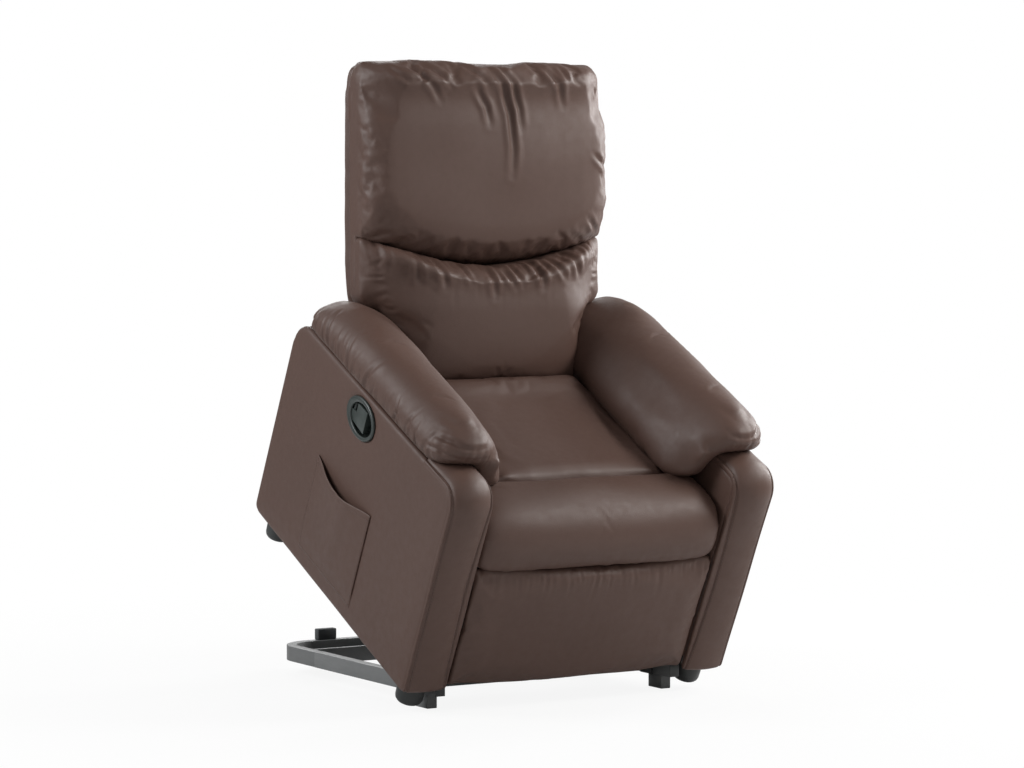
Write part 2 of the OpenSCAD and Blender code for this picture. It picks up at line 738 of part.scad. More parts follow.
module inner_panels() color(leather) raised_body() both() plate_yz(inner_x, inner_panel_t)
    soft_rect([inner_y, inner_panel_z], [top_board_to, panel_h - front_t - seat_gap],
        [0, 0, rear_r - front_t, front_r - front_t]);

glide_x = inner_x + arm_w / 2;
glide_y = [front_y + 50, rear_y - 45];
stud_r = 4;
stud_l = 20;

module arm_bottom_rails() color(timber) raised_body() both() difference() {
    box([inner_x + inner_panel_t, inner_y, 0],
        [outer_x - side_t - seat_gap, top_board_to, inner_panel_z]);
    for (y = glide_y) translate([glide_x, y, -1]) cylinder(stud_l + 2, r = stud_r + fit);
}

module floor_glides() color(black) raised_body() both() for (y = glide_y) translate([glide_x, y, 0]) {
    edge = 6;
    rotate_extrude() {
        polygon([[0, 0], [glide_r, 0], [glide_r - 1, -glide_h + edge], [glide_r - 1 - edge, -glide_h],
            [0, -glide_h]]);
        intersection() {
            translate([glide_r - 1 - edge, -glide_h + edge]) circle(edge);
            translate([0, -glide_h - 1]) square([glide_r, glide_h]);
        }
    }
    cylinder(stud_l, r = stud_r);
}

// Arm pad: a padded roll over the arm that droops down its inner side
pad_from = front_y + 35;
pad_to = rear_y - 22;
pad_z = panel_h + seat_gap;
pad_in = inner_x - 53;
pad_out = outer_x + 8;
pad_hang = inner_x - seat_gap - 2;
pad_nose = 36;     // height of the front end over the panel
pad_tail = 12;     // height of the rear end over the panel
pad_fall = 58;     // how far the pad's top falls towards the rear
pad_lag = 44;      // how far the droop stays behind the nose

// Section of the pad as [x, share of its height over the panel, or of its droop under the panel's top]
pad_section = concat(
    bow([[pad_out - 3, 0.06], [pad_out, 0.3], [pad_out - 9, 0.6], [outer_x - 30, 0.88],
        [inner_x + 40, 1], [inner_x + 6, 0.9],
        [pad_in + 32, 0.6], [pad_in + 16, 0.2], [pad_in + 4, -0.28], [pad_in, -0.72],
            [pad_in + 12, -0.97], [pad_hang - 8, -1]], 2),
    [[pad_hang, -0.9], [pad_hang, -0.4], [pad_hang, 0], [glide_x, 0], [outer_x - 12, 0]]);

module arm_pad() {
    mid = (pad_from + pad_to) / 2;
    half = (pad_to - pad_from) / 2;
    skin([for (w = cosines(18)) let (
        v = -w,
        y = mid + v * half,
        end = 0.1 + 0.9 * (v < 0 ? fall(v, 7, 2.2) : fall(v, 9, 2.2)),
        top = pad_h - pad_fall * pow(max(0, (y - rear_y + 300) / 300), 2.3),
        lag = pad_lag * ease((-v - 0.4) / 0.6),
        core = v < 0 ? pad_nose : pad_tail)
        [for (q = pad_section) let (
            h = q.y > 0 ? q.y * top : q.y * pad_droop,
            x = q.y < 0 ? q.x : glide_x + (q.x - glide_x) * (0.8 + 0.2 * end))
            [q.y == 0 ? max(q.x, pad_hang) : x, y + lag * (1 - q.y) / 2,
                pad_z + core + (h - core) * end]]], true);
}

module arm_pad_right() color(leather) raised_body() arm_pad();

module arm_pad_left() color(leather) raised_body() mirror([1, 0, 0]) arm_pad();

skirt_z = [38, 330];

// Padded boards across the rear: one behind the seat and one behind each arm
module rear_panels() color(leather) raised_body() {
    plate_yz(-inner_x + seat_gap, seat_w - 2 * seat_gap)
        soft_rect([rear_y - 14, skirt_z[0]], [rear_y, skirt_z[1]], [3, 3, 3, 3]);
    both() plate_yz(inner_x, arm_w - side_t - seat_gap) difference() {
        soft_rect([rear_y - 2 * rear_r, 0], [rear_y, panel_h], [0, panel_r, rear_r, 0]);
        soft_rect([rear_y - 3 * rear_r, -1], [rear_y - side_t, panel_h - front_t],
            [0, 0, rear_r - front_t, 0]);
        translate([rear_y - 3 * rear_r, -1]) square([2 * rear_r, panel_h + 2]);
    }
}

// Patch pocket: a sheet sewn to the left panel on three sides, its mouth gaping
pocket_cols = 14;
pocket_rows = 10;
pocket_dip = 18;   // how far the mouth's middle hangs below its ends

function pocket_point(u, v, lift) = [
    -outer_x - seat_gap - lift - pocket_gape * pow(sin(180 * u), 1.2) * pow(v, 1.3),
    pocket_at.x + u * pocket_l,
    pocket_at.y + v * (pocket_h - pocket_dip * pow(sin(180 * u), 1.5))];

// One quad of the sheet as two triangles; the far side runs the other way round
function pocket_id(i, j, side) = (side * (pocket_rows + 1) + j) * (pocket_cols + 1) + i;
function two_faces(a, b, c, d) = [[a, b, c], [a, c, d]];

module side_pocket() color(leather) raised_body() {
    points = [for (side = [0, 1], j = [0:pocket_rows], i = [0:pocket_cols])
        pocket_point(i / pocket_cols, j / pocket_rows, side * pocket_t)];
    skins = [for (j = [0:pocket_rows - 1], i = [0:pocket_cols - 1]) each concat(
        two_faces(pocket_id(i, j, 0), pocket_id(i, j + 1, 0), pocket_id(i + 1, j + 1, 0),
            pocket_id(i + 1, j, 0)),
        two_faces(pocket_id(i, j, 1), pocket_id(i + 1, j, 1), pocket_id(i + 1, j + 1, 1),
            pocket_id(i, j + 1, 1)))];
    ends = [for (i = [0:pocket_cols - 1]) each concat(
        two_faces(pocket_id(i, 0, 0), pocket_id(i + 1, 0, 0), pocket_id(i + 1, 0, 1), pocket_id(i, 0, 1)),
        two_faces(pocket_id(i, pocket_rows, 0), pocket_id(i, pocket_rows, 1),
            pocket_id(i + 1, pocket_rows, 1), pocket_id(i + 1, pocket_rows, 0)))];
    sides = [for (j = [0:pocket_rows - 1]) each concat(
        two_faces(pocket_id(0, j, 0), pocket_id(0, j, 1), pocket_id(0, j + 1, 1), pocket_id(0, j + 1, 0)),
        two_faces(pocket_id(pocket_cols, j, 0), pocket_id(pocket_cols, j + 1, 0),
            pocket_id(pocket_cols, j + 1, 1), pocket_id(pocket_cols, j, 1)))];
    polyhedron(points, concat(skins, ends, sides));
}

// ---------- Release handle ----------

// Places of the handle: x is measured outwards from the panel's face
module at_handle() raised_body() mirror([1, 0, 0])
    translate([outer_x, bezel_at.x, bezel_at.y]) children();

recess_l = bezel_l - 2 * bezel_rim;
recess_h = bezel_h - 2 * bezel_rim;
cup_l = recess_l + 2 * cup_wall;
cup_h = recess_h + 2 * cup_wall;
hinge_y = recess_l / 2 - 12;
hinge_half = recess_h / 4;
hinge_reach = recess_h / 2 * sqrt(1 - pow(2 * hinge_y / recess_l, 2)) + cup_wall / 2;
hinge_pin_r = 2;
barrel_r = 4.5;
barrel_x = -6;
paddle_front = -19;

// Oval cup sunk in the panel, with the lever's pin across its rear
module handle_cup() color(black) at_handle() {
    difference() {
        union() {
            plate_yz(0, bezel_t) polygon(oval(bezel_l, bezel_h));
            plate_yz(-cup_depth, cup_depth + eps) polygon(oval(cup_l, cup_h));
        }
        plate_yz(-cup_depth + cup_wall, cup_depth + bezel_t + 1) polygon(oval(recess_l, recess_h));
    }
    translate([barrel_x, hinge_y, -hinge_reach]) cylinder(2 * hinge_reach, r = hinge_pin_r);
}

// Lever: a barrel on the pin and a stepped paddle with a turned-in front edge
module release_lever() color(black) at_handle() difference() {
    half = recess_h / 2 - 13;
    union() {
        translate([barrel_x, hinge_y, -hinge_half]) cylinder(2 * hinge_half, r = barrel_r);
        box([-4, paddle_front, -half], [-4 + lever_t, hinge_y - 16, half - 2]);
        box([-4, hinge_y - 16 - eps, -half], [-4 + lever_t, hinge_y - 5, 2]);
        box([-4, hinge_y - 5 - eps, -hinge_half], [-4 + lever_t, hinge_y + 2, 2]);
        box([-4 - 10, paddle_front, -half + 3], [-4 + eps, paddle_front + 4, half - 5]);
    }
    translate([barrel_x, hinge_y, -hinge_half - 1]) cylinder(2 * hinge_half + 2, r = hinge_pin_r + fit);
}

// ---------- Backrest ----------

// Seam between the cushions: it dips in the middle
function seam_dip(x) = seam_sag * (1 - pow(2 * x / head_w, 2));

// Half width of the back at a distance up from its hinge: narrow between the arms, wide above the pads
function shoulder(up, wide) = narrow_w / 2 + (wide - narrow_w / 2) * ease((up - shoulder_r + 5) / 14);

module head_cushion() color(leather) back_body() {
    half_w = head_w / 2;
    mid = seam_s + soft_gap + head_l / 2;
    skin([for (v = cosines(18)) [for (i = [0:31]) let (
        o = slab(i, 16, 8, 2.8),
        swell = fall(v, 7, 2.6),
        x = o.x * half_w * (0.98 + 0.02 * swell),
        crown = o.y < 0 ? 14 * (1 - o.x * o.x) * swell : 0,
        half_t = (head_t - 14) / 2 * (0.45 + 0.55 * swell))
        [x, back_plane - half_t * (1 - o.y) - crown,
            mid + v * head_l / 2 - seam_dip(x) * pow((1 - v) / 2, 1.6)]]]);
}

// Lumbar cushion: narrow between the arms, wide above the pads, outside the shoulder radius
module lumbar_cushion() color(leather) back_body() {
    half_l = lumbar_l / 2;
    mid = lumbar_s + half_l;
    skin([for (v = cosines(18)) [for (i = [0:31]) let (
        o = slab(i, 16, 8, 2.4),
        half_w = shoulder(mid + v * half_l - pivot_s, head_w / 2 - 4),
        swell = fall(v, 4, 2.2),
        x = o.x * half_w,
        side = pow(min(1, abs(x) / (head_w / 2)), 6),
        crown = o.y < 0 ? 16 * (1 - o.x * o.x) * swell : 0,
        half_t = (lumbar_t - 16) / 2 * (0.4 + 0.6 * swell) * (1 - 0.5 * side))
        [x, back_plane - half_t * (1 - o.y) - crown,
            mid + v * half_l - seam_dip(x) * pow((1 + v) / 2, 4)]]]);
}

frame_t = 24;
cover_s = lumbar_s + 28;
bar_inset = 60;
post_top = top_s - bar_inset;
frame_y = back_plane + seat_gap;
bar_s = [cover_s + bar_inset, seam_s - bar_inset, post_top - post_w];

// Steel posts that swing on pins in the mechanism plates
module back_posts() color(steel) back_body() both() {
    difference() {
        union() {
            box([post_x, frame_y, pivot_s], [post_x + post_w, frame_y + frame_t, post_top]);
            translate([post_x, pivot_t, pivot_s]) rotate([0, 90, 0]) cylinder(post_w, r = hinge_r + 6);
            box([post_x, pivot_t, pivot_s - hinge_r - 6],
                [post_x + post_w, frame_y + frame_t, pivot_s + eps]);
        }
        translate([post_x - 1, pivot_t, pivot_s]) rotate([0, 90, 0])
            cylinder(post_w + 2, r = hinge_r + fit);
    }
}

// Hinge tube with its end pins, and the bars between the posts
module back_crossbars() color(steel) back_body() {
    translate([-drive_x - link_t, pivot_t, pivot_s]) rotate([0, 90, 0])
        cylinder(2 * (drive_x + link_t), r = hinge_r);
    both() {
        translate([plate_x - plane_gap - eps, pivot_t, pivot_s]) rotate([0, 90, 0])
            cylinder(link_t + 2 * plane_gap, r = lift_pin_r);
        translate([plate_x + link_t + plane_gap - eps, pivot_t, pivot_s]) rotate([0, 90, 0])
            cylinder(pin_head, r = 10);
    }
    for (s = bar_s) box([-post_x, frame_y, s], [post_x, frame_y + frame_t, s + post_w]);
}

// Padding beside and over the frame, between the cushions and the rear cover
module back_edge_pads() color(leather) back_body() {
    half_w = head_w / 2 - 6;
    from = pivot_s + shoulder_r + 10;
    pad_x = post_x + post_w + seat_gap;
    both() translate([0, frame_y, 0]) rotate([-90, 0, 0]) linear_extrude(frame_t) {
        soft_rect([pad_x, -top_s + 14], [half_w, -from], [0, 20, 20, 0]);
        translate([pad_x, -from - 1]) square([narrow_w / 2 - 1 - pad_x, from + 1 - cover_s - 4]);
    }
    box([-post_x - post_w, frame_y, post_top + seat_gap],
        [post_x + post_w, frame_y + frame_t, top_s - 14]);
}

// Padded rear cover behind the frame
module back_cover() color(leather) back_body() {
    half_w = head_w / 2 - 6;
    half_l = (top_s - 8 - cover_s) / 2;
    half_t = (cover_t - frame_t - seat_gap) / 2;
    mid = cover_s + half_l;
    skin([for (v = cosines(12)) [for (i = [0:23]) let (
        o = slab(i, 12, 10, 3),
        up = mid + v * half_l - pivot_s,
        swell = fall(v, 12, 3) * (1 - 0.3 * ease((v + 0.2) / 1.2)))
        [o.x * shoulder(up, half_w), frame_y + frame_t + seat_gap
            + half_t * (0.45 + 0.55 * swell) * (1 + o.y), mid + v * half_l]]]);
}

// ---------- Footrest ----------

module footrest_board() color(timber) raised_body()
    box([-(foot_w / 2 - 10), board_y, foot_z + 4],
        [foot_w / 2 - 10, board_y + board_t, foot_z + foot_h - 10]);

module footrest_cushion() color(leather) raised_body() {
    half_w = foot_w / 2;
    mid = foot_z + foot_h / 2;
    skin([for (v = cosines(12)) [for (i = [0:27]) let (
        o = slab(i, 14, 10, 3),
        swell = fall(v, 12, 2.6),
        crown = o.y < 0 ? 6 * (1 - o.x * o.x) * swell : 0,
        half_t = (foot_t - 6 - seat_gap) / 2 * (0.5 + 0.5 * swell))
        [o.x * half_w * (0.994 + 0.006 * v * v), board_y - seat_gap - half_t * (1 - o.y) - crown,
            mid + v * foot_h / 2]]]);
}

foot_flange_w = 26;
foot_flange_t = 3;
foot_flange_margin = [30, 14];    // below the lower eye and over the upper one
foot_web_margin = [12, 9];

module footrest_brackets() color(steel) raised_body() both() {
    plate_yz(drive_x, link_t) {
        bar2d(upper_eye, lower_eye, foot_bar_w);
        translate([board_y + board_t, lower_eye.y - foot_web_margin[0]])
            square([upper_eye.x - board_y - board_t,
                upper_eye.y - lower_eye.y + foot_web_margin[0] + foot_web_margin[1]]);
    }
    box([drive_x - foot_flange_w, board_y + board_t, lower_eye.y - foot_flange_margin[0]],
        [drive_x + link_t, board_y + board_t + foot_flange_t, upper_eye.y + foot_flange_margin[1]]);
    for (p = [upper_eye, lower_eye]) {
        pin_x(upper_x - seat_gap, link_t + plane_gap + seat_gap + eps, p, foot_pin_r);
        pin_x(upper_x - seat_gap - 2, 2, p, foot_pin_r * 1.6);
    }
}

// Drive links with the pins of the upper and lower links
module footrest_drive_links() color(steel) raised_body() both() {
    plate_yz(drive_x, link_t) bar2d(drive_pivot, tail_end, foot_bar_w);
    pin_x(drive_x + link_t - eps, link_t + 2 * plane_gap, drive_pivot, foot_pin_r);
    pin_x(plate_x + link_t + plane_gap / 2, 2, drive_pivot, foot_pin_r * 1.6);
    for (p = [drive_end, tail_end]) {
        pin_x(upper_x - seat_gap, link_t + plane_gap + seat_gap + eps, p, foot_pin_r);
        pin_x(upper_x - seat_gap - 2, 2, p, foot_pin_r * 1.6);
    }
}

// Tube that joins the two drive links
module footrest_cross_tube() color(steel) raised_body() difference() {
    pin_x(-drive_x, 2 * drive_x, drive_pivot, drive_tube_r);
    pin_x(-drive_x - 1, 2 * drive_x + 2, drive_pivot, drive_tube_r - 2);
}

module footrest_rear_links() color(steel) raised_body() both() {
    plate_yz(drive_x, link_t) bar2d(rear_pivot, rear_end, foot_bar_w);
    pin_x(drive_x + link_t - eps, link_t + 2 * plane_gap, rear_pivot, foot_pin_r);
    pin_x(plate_x + link_t + plane_gap / 2, 2, rear_pivot, foot_pin_r * 1.6);
    pin_x(upper_x - seat_gap, link_t + plane_gap + seat_gap + eps, rear_end, foot_pin_r);
    pin_x(upper_x - seat_gap - 2, 2, rear_end, foot_pin_r * 1.6);
}

module footrest_upper_links() color(steel) raised_body() both() difference() {
    plate_yz(upper_x, link_t) {
        bar2d(rear_end, drive_end, foot_bar_w);
        bar2d(drive_end, upper_eye, foot_bar_w);
    }
    for (p = [rear_end, drive_end, upper_eye]) pin_x(upper_x - 1, link_t + 2, p, foot_pin_r + fit);
}

module footrest_lower_links() color(steel) raised_body() both() difference() {
    plate_yz(upper_x, link_t) bar2d(tail_end, lower_eye, foot_bar_w);
    for (p = [tail_end, lower_eye]) pin_x(upper_x - 1, link_t + 2, p, foot_pin_r + fit);
}

// ---------- Fasteners of the seat frame ----------

module chair_fasteners() color(zinc) raised_body() both() {
    rivet_x(drive_x - seat_gap, plate_x + link_t - drive_x + 2 * seat_gap, arm_end, lift_pin_r, pin_head);
    pin_x(plate_x, lift_link_x + link_t + seat_gap - plate_x, link_end, lift_pin_r);
    pin_x(lift_link_x + link_t + seat_gap, pin_head, link_end, 11);
    for (y = bolt_rows) translate([plate_x + link_t, y, seat_z - rail_t / 2])
        rotate([0, 90, 0]) bolt(link_t + rail_w - 4);
}

// ---------- Assembly ----------

base_rail_left();
base_rail_right();
base_bend_left();
base_bend_right();
base_rear_tube();
base_tray();
base_crossbar();
front_foot_blocks();
rear_foot_pads();
rail_end_caps();
rest_blocks();
arm_brackets();
link_brackets();
actuator_clevis();
base_pivot_pins();
bracket_bolts();
lift_arm_left();
lift_arm_right();
torque_tube();
front_lift_links();
actuator_motor();
actuator_tube();
actuator_rod();
mechanism_plate_left();
mechanism_plate_right();
seat_side_rails();
seat_cross_rails();
seat_springs();
seat_cushion();
front_roll();
side_panel_left();
side_panel_right();
inner_panels();
arm_front_left();
arm_front_right();
arm_bottom_rails();
arm_top_boards();
arm_pad_left();
arm_pad_right();
floor_glides();
rear_panels();
side_pocket();
handle_cup();
chair_fasteners();
release_lever();
back_posts();
back_crossbars();
head_cushion();
lumbar_cushion();
back_cover();
back_edge_pads();
footrest_board();
footrest_cushion();
footrest_brackets();
footrest_drive_links();
footrest_cross_tube();
footrest_rear_links();
footrest_upper_links();
footrest_lower_links();
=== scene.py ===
import json
import math

import bpy
import bmesh
import numpy as np
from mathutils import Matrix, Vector


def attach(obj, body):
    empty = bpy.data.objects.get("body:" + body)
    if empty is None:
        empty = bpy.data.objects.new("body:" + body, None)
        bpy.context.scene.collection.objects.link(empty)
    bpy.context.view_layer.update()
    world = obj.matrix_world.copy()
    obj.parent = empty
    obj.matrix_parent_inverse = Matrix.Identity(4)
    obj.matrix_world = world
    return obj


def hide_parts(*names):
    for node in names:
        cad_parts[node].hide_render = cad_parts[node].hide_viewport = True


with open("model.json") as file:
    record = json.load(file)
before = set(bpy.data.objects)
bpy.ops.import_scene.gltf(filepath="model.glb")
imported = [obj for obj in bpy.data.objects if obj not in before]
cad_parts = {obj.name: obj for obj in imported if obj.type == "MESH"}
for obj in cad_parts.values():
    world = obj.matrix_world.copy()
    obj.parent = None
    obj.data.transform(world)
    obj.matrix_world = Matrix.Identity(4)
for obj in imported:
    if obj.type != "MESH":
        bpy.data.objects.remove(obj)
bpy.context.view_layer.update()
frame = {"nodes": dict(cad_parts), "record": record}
NODES = frame["nodes"]

# ---------- Frames: the seat frame is the chair before it is tilted on its base ----------

TILT = math.radians(26.3)
COS, SIN = math.cos(TILT), math.sin(TILT)
LIFT = np.array([0.0, -0.2595, 0.0446])
FRONT_Y, REAR_Y = -0.008, 0.716
PANEL_H = 0.462
INNER_X, OUTER_X = 0.281, 0.380
BACK_T = 0.3524          # plane behind the back cushions
HANDLE = (0.380, 0.408)  # the bezel's centre on the left panel, in the seat frame
SIDES = {-1: "left", 1: "right"}


def to_seat(p):
    q = p - LIFT
    return np.stack([q[:, 0], q[:, 1] * COS + q[:, 2] * SIN, -q[:, 1] * SIN + q[:, 2] * COS], 1)


def from_seat(p):
    return np.stack([p[:, 0], p[:, 1] * COS - p[:, 2] * SIN, p[:, 1] * SIN + p[:, 2] * COS], 1) + LIFT


def to_back(p):
    return p - LIFT


def from_back(p):
    return p + LIFT


IDENTITY = (lambda p: p, lambda p: p)
SEAT = (to_seat, from_seat)
BACK = (to_back, from_back)

# ---------- Mesh helpers ----------


def vectors(items, key):
    values = np.empty(len(items) * 3, np.float32)
    items.foreach_get(key, values)
    return values.reshape(-1, 3).astype(float)


def coords(obj):
    return vectors(obj.data.vertices, "co")


def set_coords(obj, co):
    obj.data.vertices.foreach_set("co", co.astype(np.float32).ravel())
    obj.data.update()


def normals(obj):
    return vectors(obj.data.vertex_normals, "vector")


def new_object(name, verts, faces):
    mesh = bpy.data.meshes.new(name)
    mesh.from_pydata([tuple(v) for v in verts], [], [tuple(f) for f in faces])
    mesh.update()
    obj = bpy.data.objects.new(name, mesh)
    bpy.context.scene.collection.objects.link(obj)
    return obj


def smooth_shade(obj):
    obj.data.polygons.foreach_set("use_smooth", [True] * len(obj.data.polygons))


def bake_modifiers(obj):
    """Replaces the mesh by what its modifiers make of it."""
    bpy.context.view_layer.update()
    graph = bpy.context.evaluated_depsgraph_get()
    mesh = bpy.data.meshes.new_from_object(obj.evaluated_get(graph))
    old = obj.data
    obj.modifiers.clear()
    obj.data = mesh
    bpy.data.meshes.remove(old)


def copy_nodes(name, nodes, to_local):
    """One object in local coordinates from the CAD nodes' welded meshes."""
    bm = bmesh.new()
    for n in nodes:
        bm.from_mesh(NODES[n].data)
    bmesh.ops.remove_doubles(bm, verts=bm.verts, dist=1e-6)
    mesh = bpy.data.meshes.new(name)
    bm.to_mesh(mesh)
    bm.free()
    obj = bpy.data.objects.new(name, mesh)
    bpy.context.scene.collection.objects.link(obj)
    obj.data.materials.clear()
    set_coords(obj, to_local(coords(obj)))
    return obj


def remesh(obj, voxel, smooth):
    m = obj.modifiers.new("Remesh", "REMESH")
    m.mode = "VOXEL"
    m.voxel_size = voxel
    m.use_smooth_shade = True
    s = obj.modifiers.new("Smooth", "SMOOTH")
    s.factor = 0.5
    s.iterations = smooth
    bake_modifiers(obj)


def subdivide(obj):
    m = obj.modifiers.new("Subdivision", "SUBSURF")
    m.levels = m.render_levels = 1
    bake_modifiers(obj)


def push(obj, amount):
    """Moves each vertex along its normal by amount(points, normals), in metres."""
    co, no = coords(obj), normals(obj)
    set_coords(obj, co + no * amount(co, no)[:, None])


def blunt(obj, where, rounds):
    """Smooths the mesh only where where(points) says, from 0 to 1."""
    co = coords(obj)
    edges = np.empty(len(obj.data.edges) * 2, np.int32)
    obj.data.edges.foreach_get("vertices", edges)
    a, b = edges.reshape(-1, 2).T
    count = np.bincount(np.concatenate([a, b]), minlength=len(co))[:, None]
    share = 0.6 * where(co)[:, None]
    for _ in range(rounds):
        total = np.zeros_like(co)
        np.add.at(total, a, co[b])
        np.add.at(total, b, co[a])
        co += share * (total / count - co)
    set_coords(obj, co)


def puff(obj, pinned, pressure, cap, frames, spare=0.0):
    """Cloth with air pressure in it, moved by cap metres at most. pinned(points) says which vertices stay,
    and spare is the share of extra cloth."""
    start = coords(obj)
    hold = np.nonzero(pinned(start))[0]
    group = obj.vertex_groups.new(name="pin")
    if len(hold):
        group.add([int(i) for i in hold], 1.0, "REPLACE")
    cloth = obj.modifiers.new("Cloth", "CLOTH")
    s = cloth.settings
    s.quality = 4
    s.mass = 0.35
    s.tension_stiffness = s.compression_stiffness = 18
    s.shear_stiffness = 6
    s.bending_stiffness = 0.6
    s.use_pressure = True
    s.uniform_pressure_force = pressure
    s.shrink_min = -spare
    s.vertex_group_mass = "pin"
    s.effector_weights.gravity = 0
    cloth.collision_settings.use_collision = False
    cloth.point_cache.frame_start = 1
    cloth.point_cache.frame_end = frames
    scene = bpy.context.scene
    for f in range(1, frames + 1):
        scene.frame_set(f)
    graph = bpy.context.evaluated_depsgraph_get()
    shaped = obj.evaluated_get(graph).to_mesh()
    move = vectors(shaped.vertices, "co") - start
    size = np.linalg.norm(move, axis=1, keepdims=True)
    move *= np.minimum(1, cap / np.maximum(size, 1e-9))
    obj.modifiers.clear()
    obj.vertex_groups.clear()
    scene.frame_set(1)
    set_coords(obj, start + move)


# ---------- Wrinkles ----------


def crease(p, line, width, depth, ridge):
    """A pressed line with a raised lip on both sides. p is (n, 2); the depth tapers off at both ends."""
    line = np.array(line, float)
    seg = np.diff(line, axis=0)
    length = np.linalg.norm(seg, axis=1)
    total = length.sum()
    best = np.full(len(p), 1e9)
    where = np.zeros(len(p))
    run = 0.0
    for a, d, l in zip(line[:-1], seg, length):
        t = np.clip(((p - a) @ d) / (l * l), 0, 1)
        gap = p - (a + t[:, None] * d)
        dist = np.linalg.norm(gap, axis=1)
        near = dist < best
        best = np.where(near, dist, best)
        where = np.where(near, (run + t * l) / total, where)
        run += l
    taper = np.sin(np.pi * np.clip(where, 0.02, 0.98)) ** 0.7
    lip = np.exp(-(((best - 1.8 * width) / (1.1 * width)) ** 2))
    return depth * taper * (ridge * lip - np.exp(-((best / width) ** 2)))


def waves(along, seed, spacing):
    """A run of uneven ripples along a seam, from -1 to 1."""
    r = np.random.default_rng(seed)
    low, high = along.min(), along.max()
    out = np.zeros_like(along)
    at = low
    while at < high:
        w = spacing * (0.35 + 0.5 * r.random())
        out += (r.random() * 1.3 - 0.5) * np.exp(-(((along - at) / (0.55 * w)) ** 2))
        at += spacing * (0.75 + 0.5 * r.random())
    return out


def gathers(along, away, seed, spacing, depth, reach):
    """Puckers that start at a seam and die out over reach."""
    r = np.random.default_rng(seed + 1)
    knots = np.linspace(along.min(), along.max() + 1e-6, 24)
    reach_here = reach * (0.5 + np.interp(along, knots, r.random(24)))
    return depth * waves(along, seed, spacing) * np.exp(-(np.maximum(away, 0) / reach_here) ** 1.5)


def pleats(along, away, seed, spacing, depth, reach, width, lean):
    """Sharp little folds that start at a seam, each with its own length and lean."""
    r = np.random.default_rng(seed)
    out = np.zeros_like(along)
    away = np.maximum(away, 0)
    at, end = along.min(), along.max()
    while at < end:
        w = width * (0.7 + 0.7 * r.random())
        long = reach * (0.4 + 0.9 * r.random())
        tilt, deep = r.random(), r.random()
        d = np.abs(along - at - lean * (2 * tilt - 1) * away) / w
        fold = 0.65 * np.exp(-((d - 1.9) / 1.1) ** 2) - np.exp(-d ** 2)
        out += depth * (0.4 + 0.8 * deep) * fold * np.exp(-(away / long) ** 2)
        at += spacing * (0.5 + r.random())
    return out


def lumps(p, size, amount, seed):
    """Broad unevenness: a few waves of about size metres, added up to about amount metres."""
    r = np.random.default_rng(seed + 100)
    out = np.zeros(len(p))
    for k in range(7):
        d = r.normal(size=3)
        d /= np.linalg.norm(d)
        out += np.sin(p @ d * 2 * np.pi / (size * (0.7 + 0.8 * r.random())) + r.random() * 6.3)
    return amount * out / 4


def ease(u):
    u = np.clip(u, 0, 1)
    return u * u * (3 - 2 * u)


def rise(value, start, span):
    """0 up to start, 1 from start + span, and smooth between."""
    return ease((value - start) / span)


def fall(value, end, span):
    """1 up to end - span, 0 from end, and smooth between."""
    return ease((end - value) / span)


# ---------- Materials ----------


class Graph:
    """Short ways to add shader nodes."""

    def __init__(self, name):
        self.mat = bpy.data.materials.new(name)
        self.mat.use_nodes = True
        self.tree = self.mat.node_tree
        self.shader = self.tree.nodes["Principled BSDF"]
        self.coord = self.tree.nodes.new("ShaderNodeTexCoord").outputs["Object"]

    def link(self, a, b):
        self.tree.links.new(a, b)

    def add(self, kind, **inputs):
        n = self.tree.nodes.new(kind)
        for k, v in inputs.items():
            n.inputs[k.replace("_", " ")].default_value = v
        return n

    def noise(self, scale, detail=4.0, rough=0.55, stretch=None):
        n = self.add("ShaderNodeTexNoise", Scale=scale, Detail=detail, Roughness=rough)
        self.link(self.at(stretch), n.inputs["Vector"])
        return n.outputs["Fac"]

    def at(self, stretch=None):
        if stretch is None:
            return self.coord
        m = self.add("ShaderNodeMapping", Scale=stretch)
        self.link(self.coord, m.inputs["Vector"])
        return m.outputs["Vector"]

    def cells(self, scale):
        n = self.add("ShaderNodeTexVoronoi", Scale=scale)
        self.link(self.coord, n.inputs["Vector"])
        return n.outputs["Distance"]

    def pointiness(self):
        """High on outer edges, low in creases."""
        return self.tree.nodes.new("ShaderNodeNewGeometry").outputs["Pointiness"]

    def ramp(self, fac, stops):
        n = self.add("ShaderNodeValToRGB")
        for element, (position, colour) in zip(n.color_ramp.elements, stops):
            element.position, element.color = position, colour
        self.link(fac, n.inputs["Fac"])
        return n.outputs["Color"]

    def span(self, fac, low, high, start=0.3, end=0.7):
        n = self.add("ShaderNodeMapRange")
        for k, v in zip(("From Min", "From Max", "To Min", "To Max"), (start, end, low, high)):
            n.inputs[k].default_value = v
        self.link(fac, n.inputs["Value"])
        return n.outputs["Result"]

    def mix(self, fac, a, b):
        n = self.tree.nodes.new("ShaderNodeMix")
        n.data_type = "RGBA"
        for socket, v in ((n.inputs[0], fac), (n.inputs[6], a), (n.inputs[7], b)):
            if isinstance(v, (int, float, tuple)):
                socket.default_value = v
            else:
                self.link(v, socket)
        return n.outputs[2]

    def bump(self, height, distance, strength, below=None):
        n = self.add("ShaderNodeBump", Strength=strength, Distance=distance)
        self.link(height, n.inputs["Height"])
        if below is not None:
            self.link(below, n.inputs["Normal"])
        return n.outputs["Normal"]

    def done(self, **sockets):
        for k, v in sockets.items():
            s = self.shader.inputs[k.replace("_", " ")]
            if isinstance(v, (int, float, tuple)):
                s.default_value = v
            else:
                self.link(v, s)
        return self.mat


def rgb(r, g, b):
    """A colour written as it looks on screen, 0 to 255."""
    def one(c):
        c /= 255
        return c / 12.92 if c < 0.04045 else ((c + 0.055) / 1.055) ** 2.4
    return (one(r), one(g), one(b), 1.0)


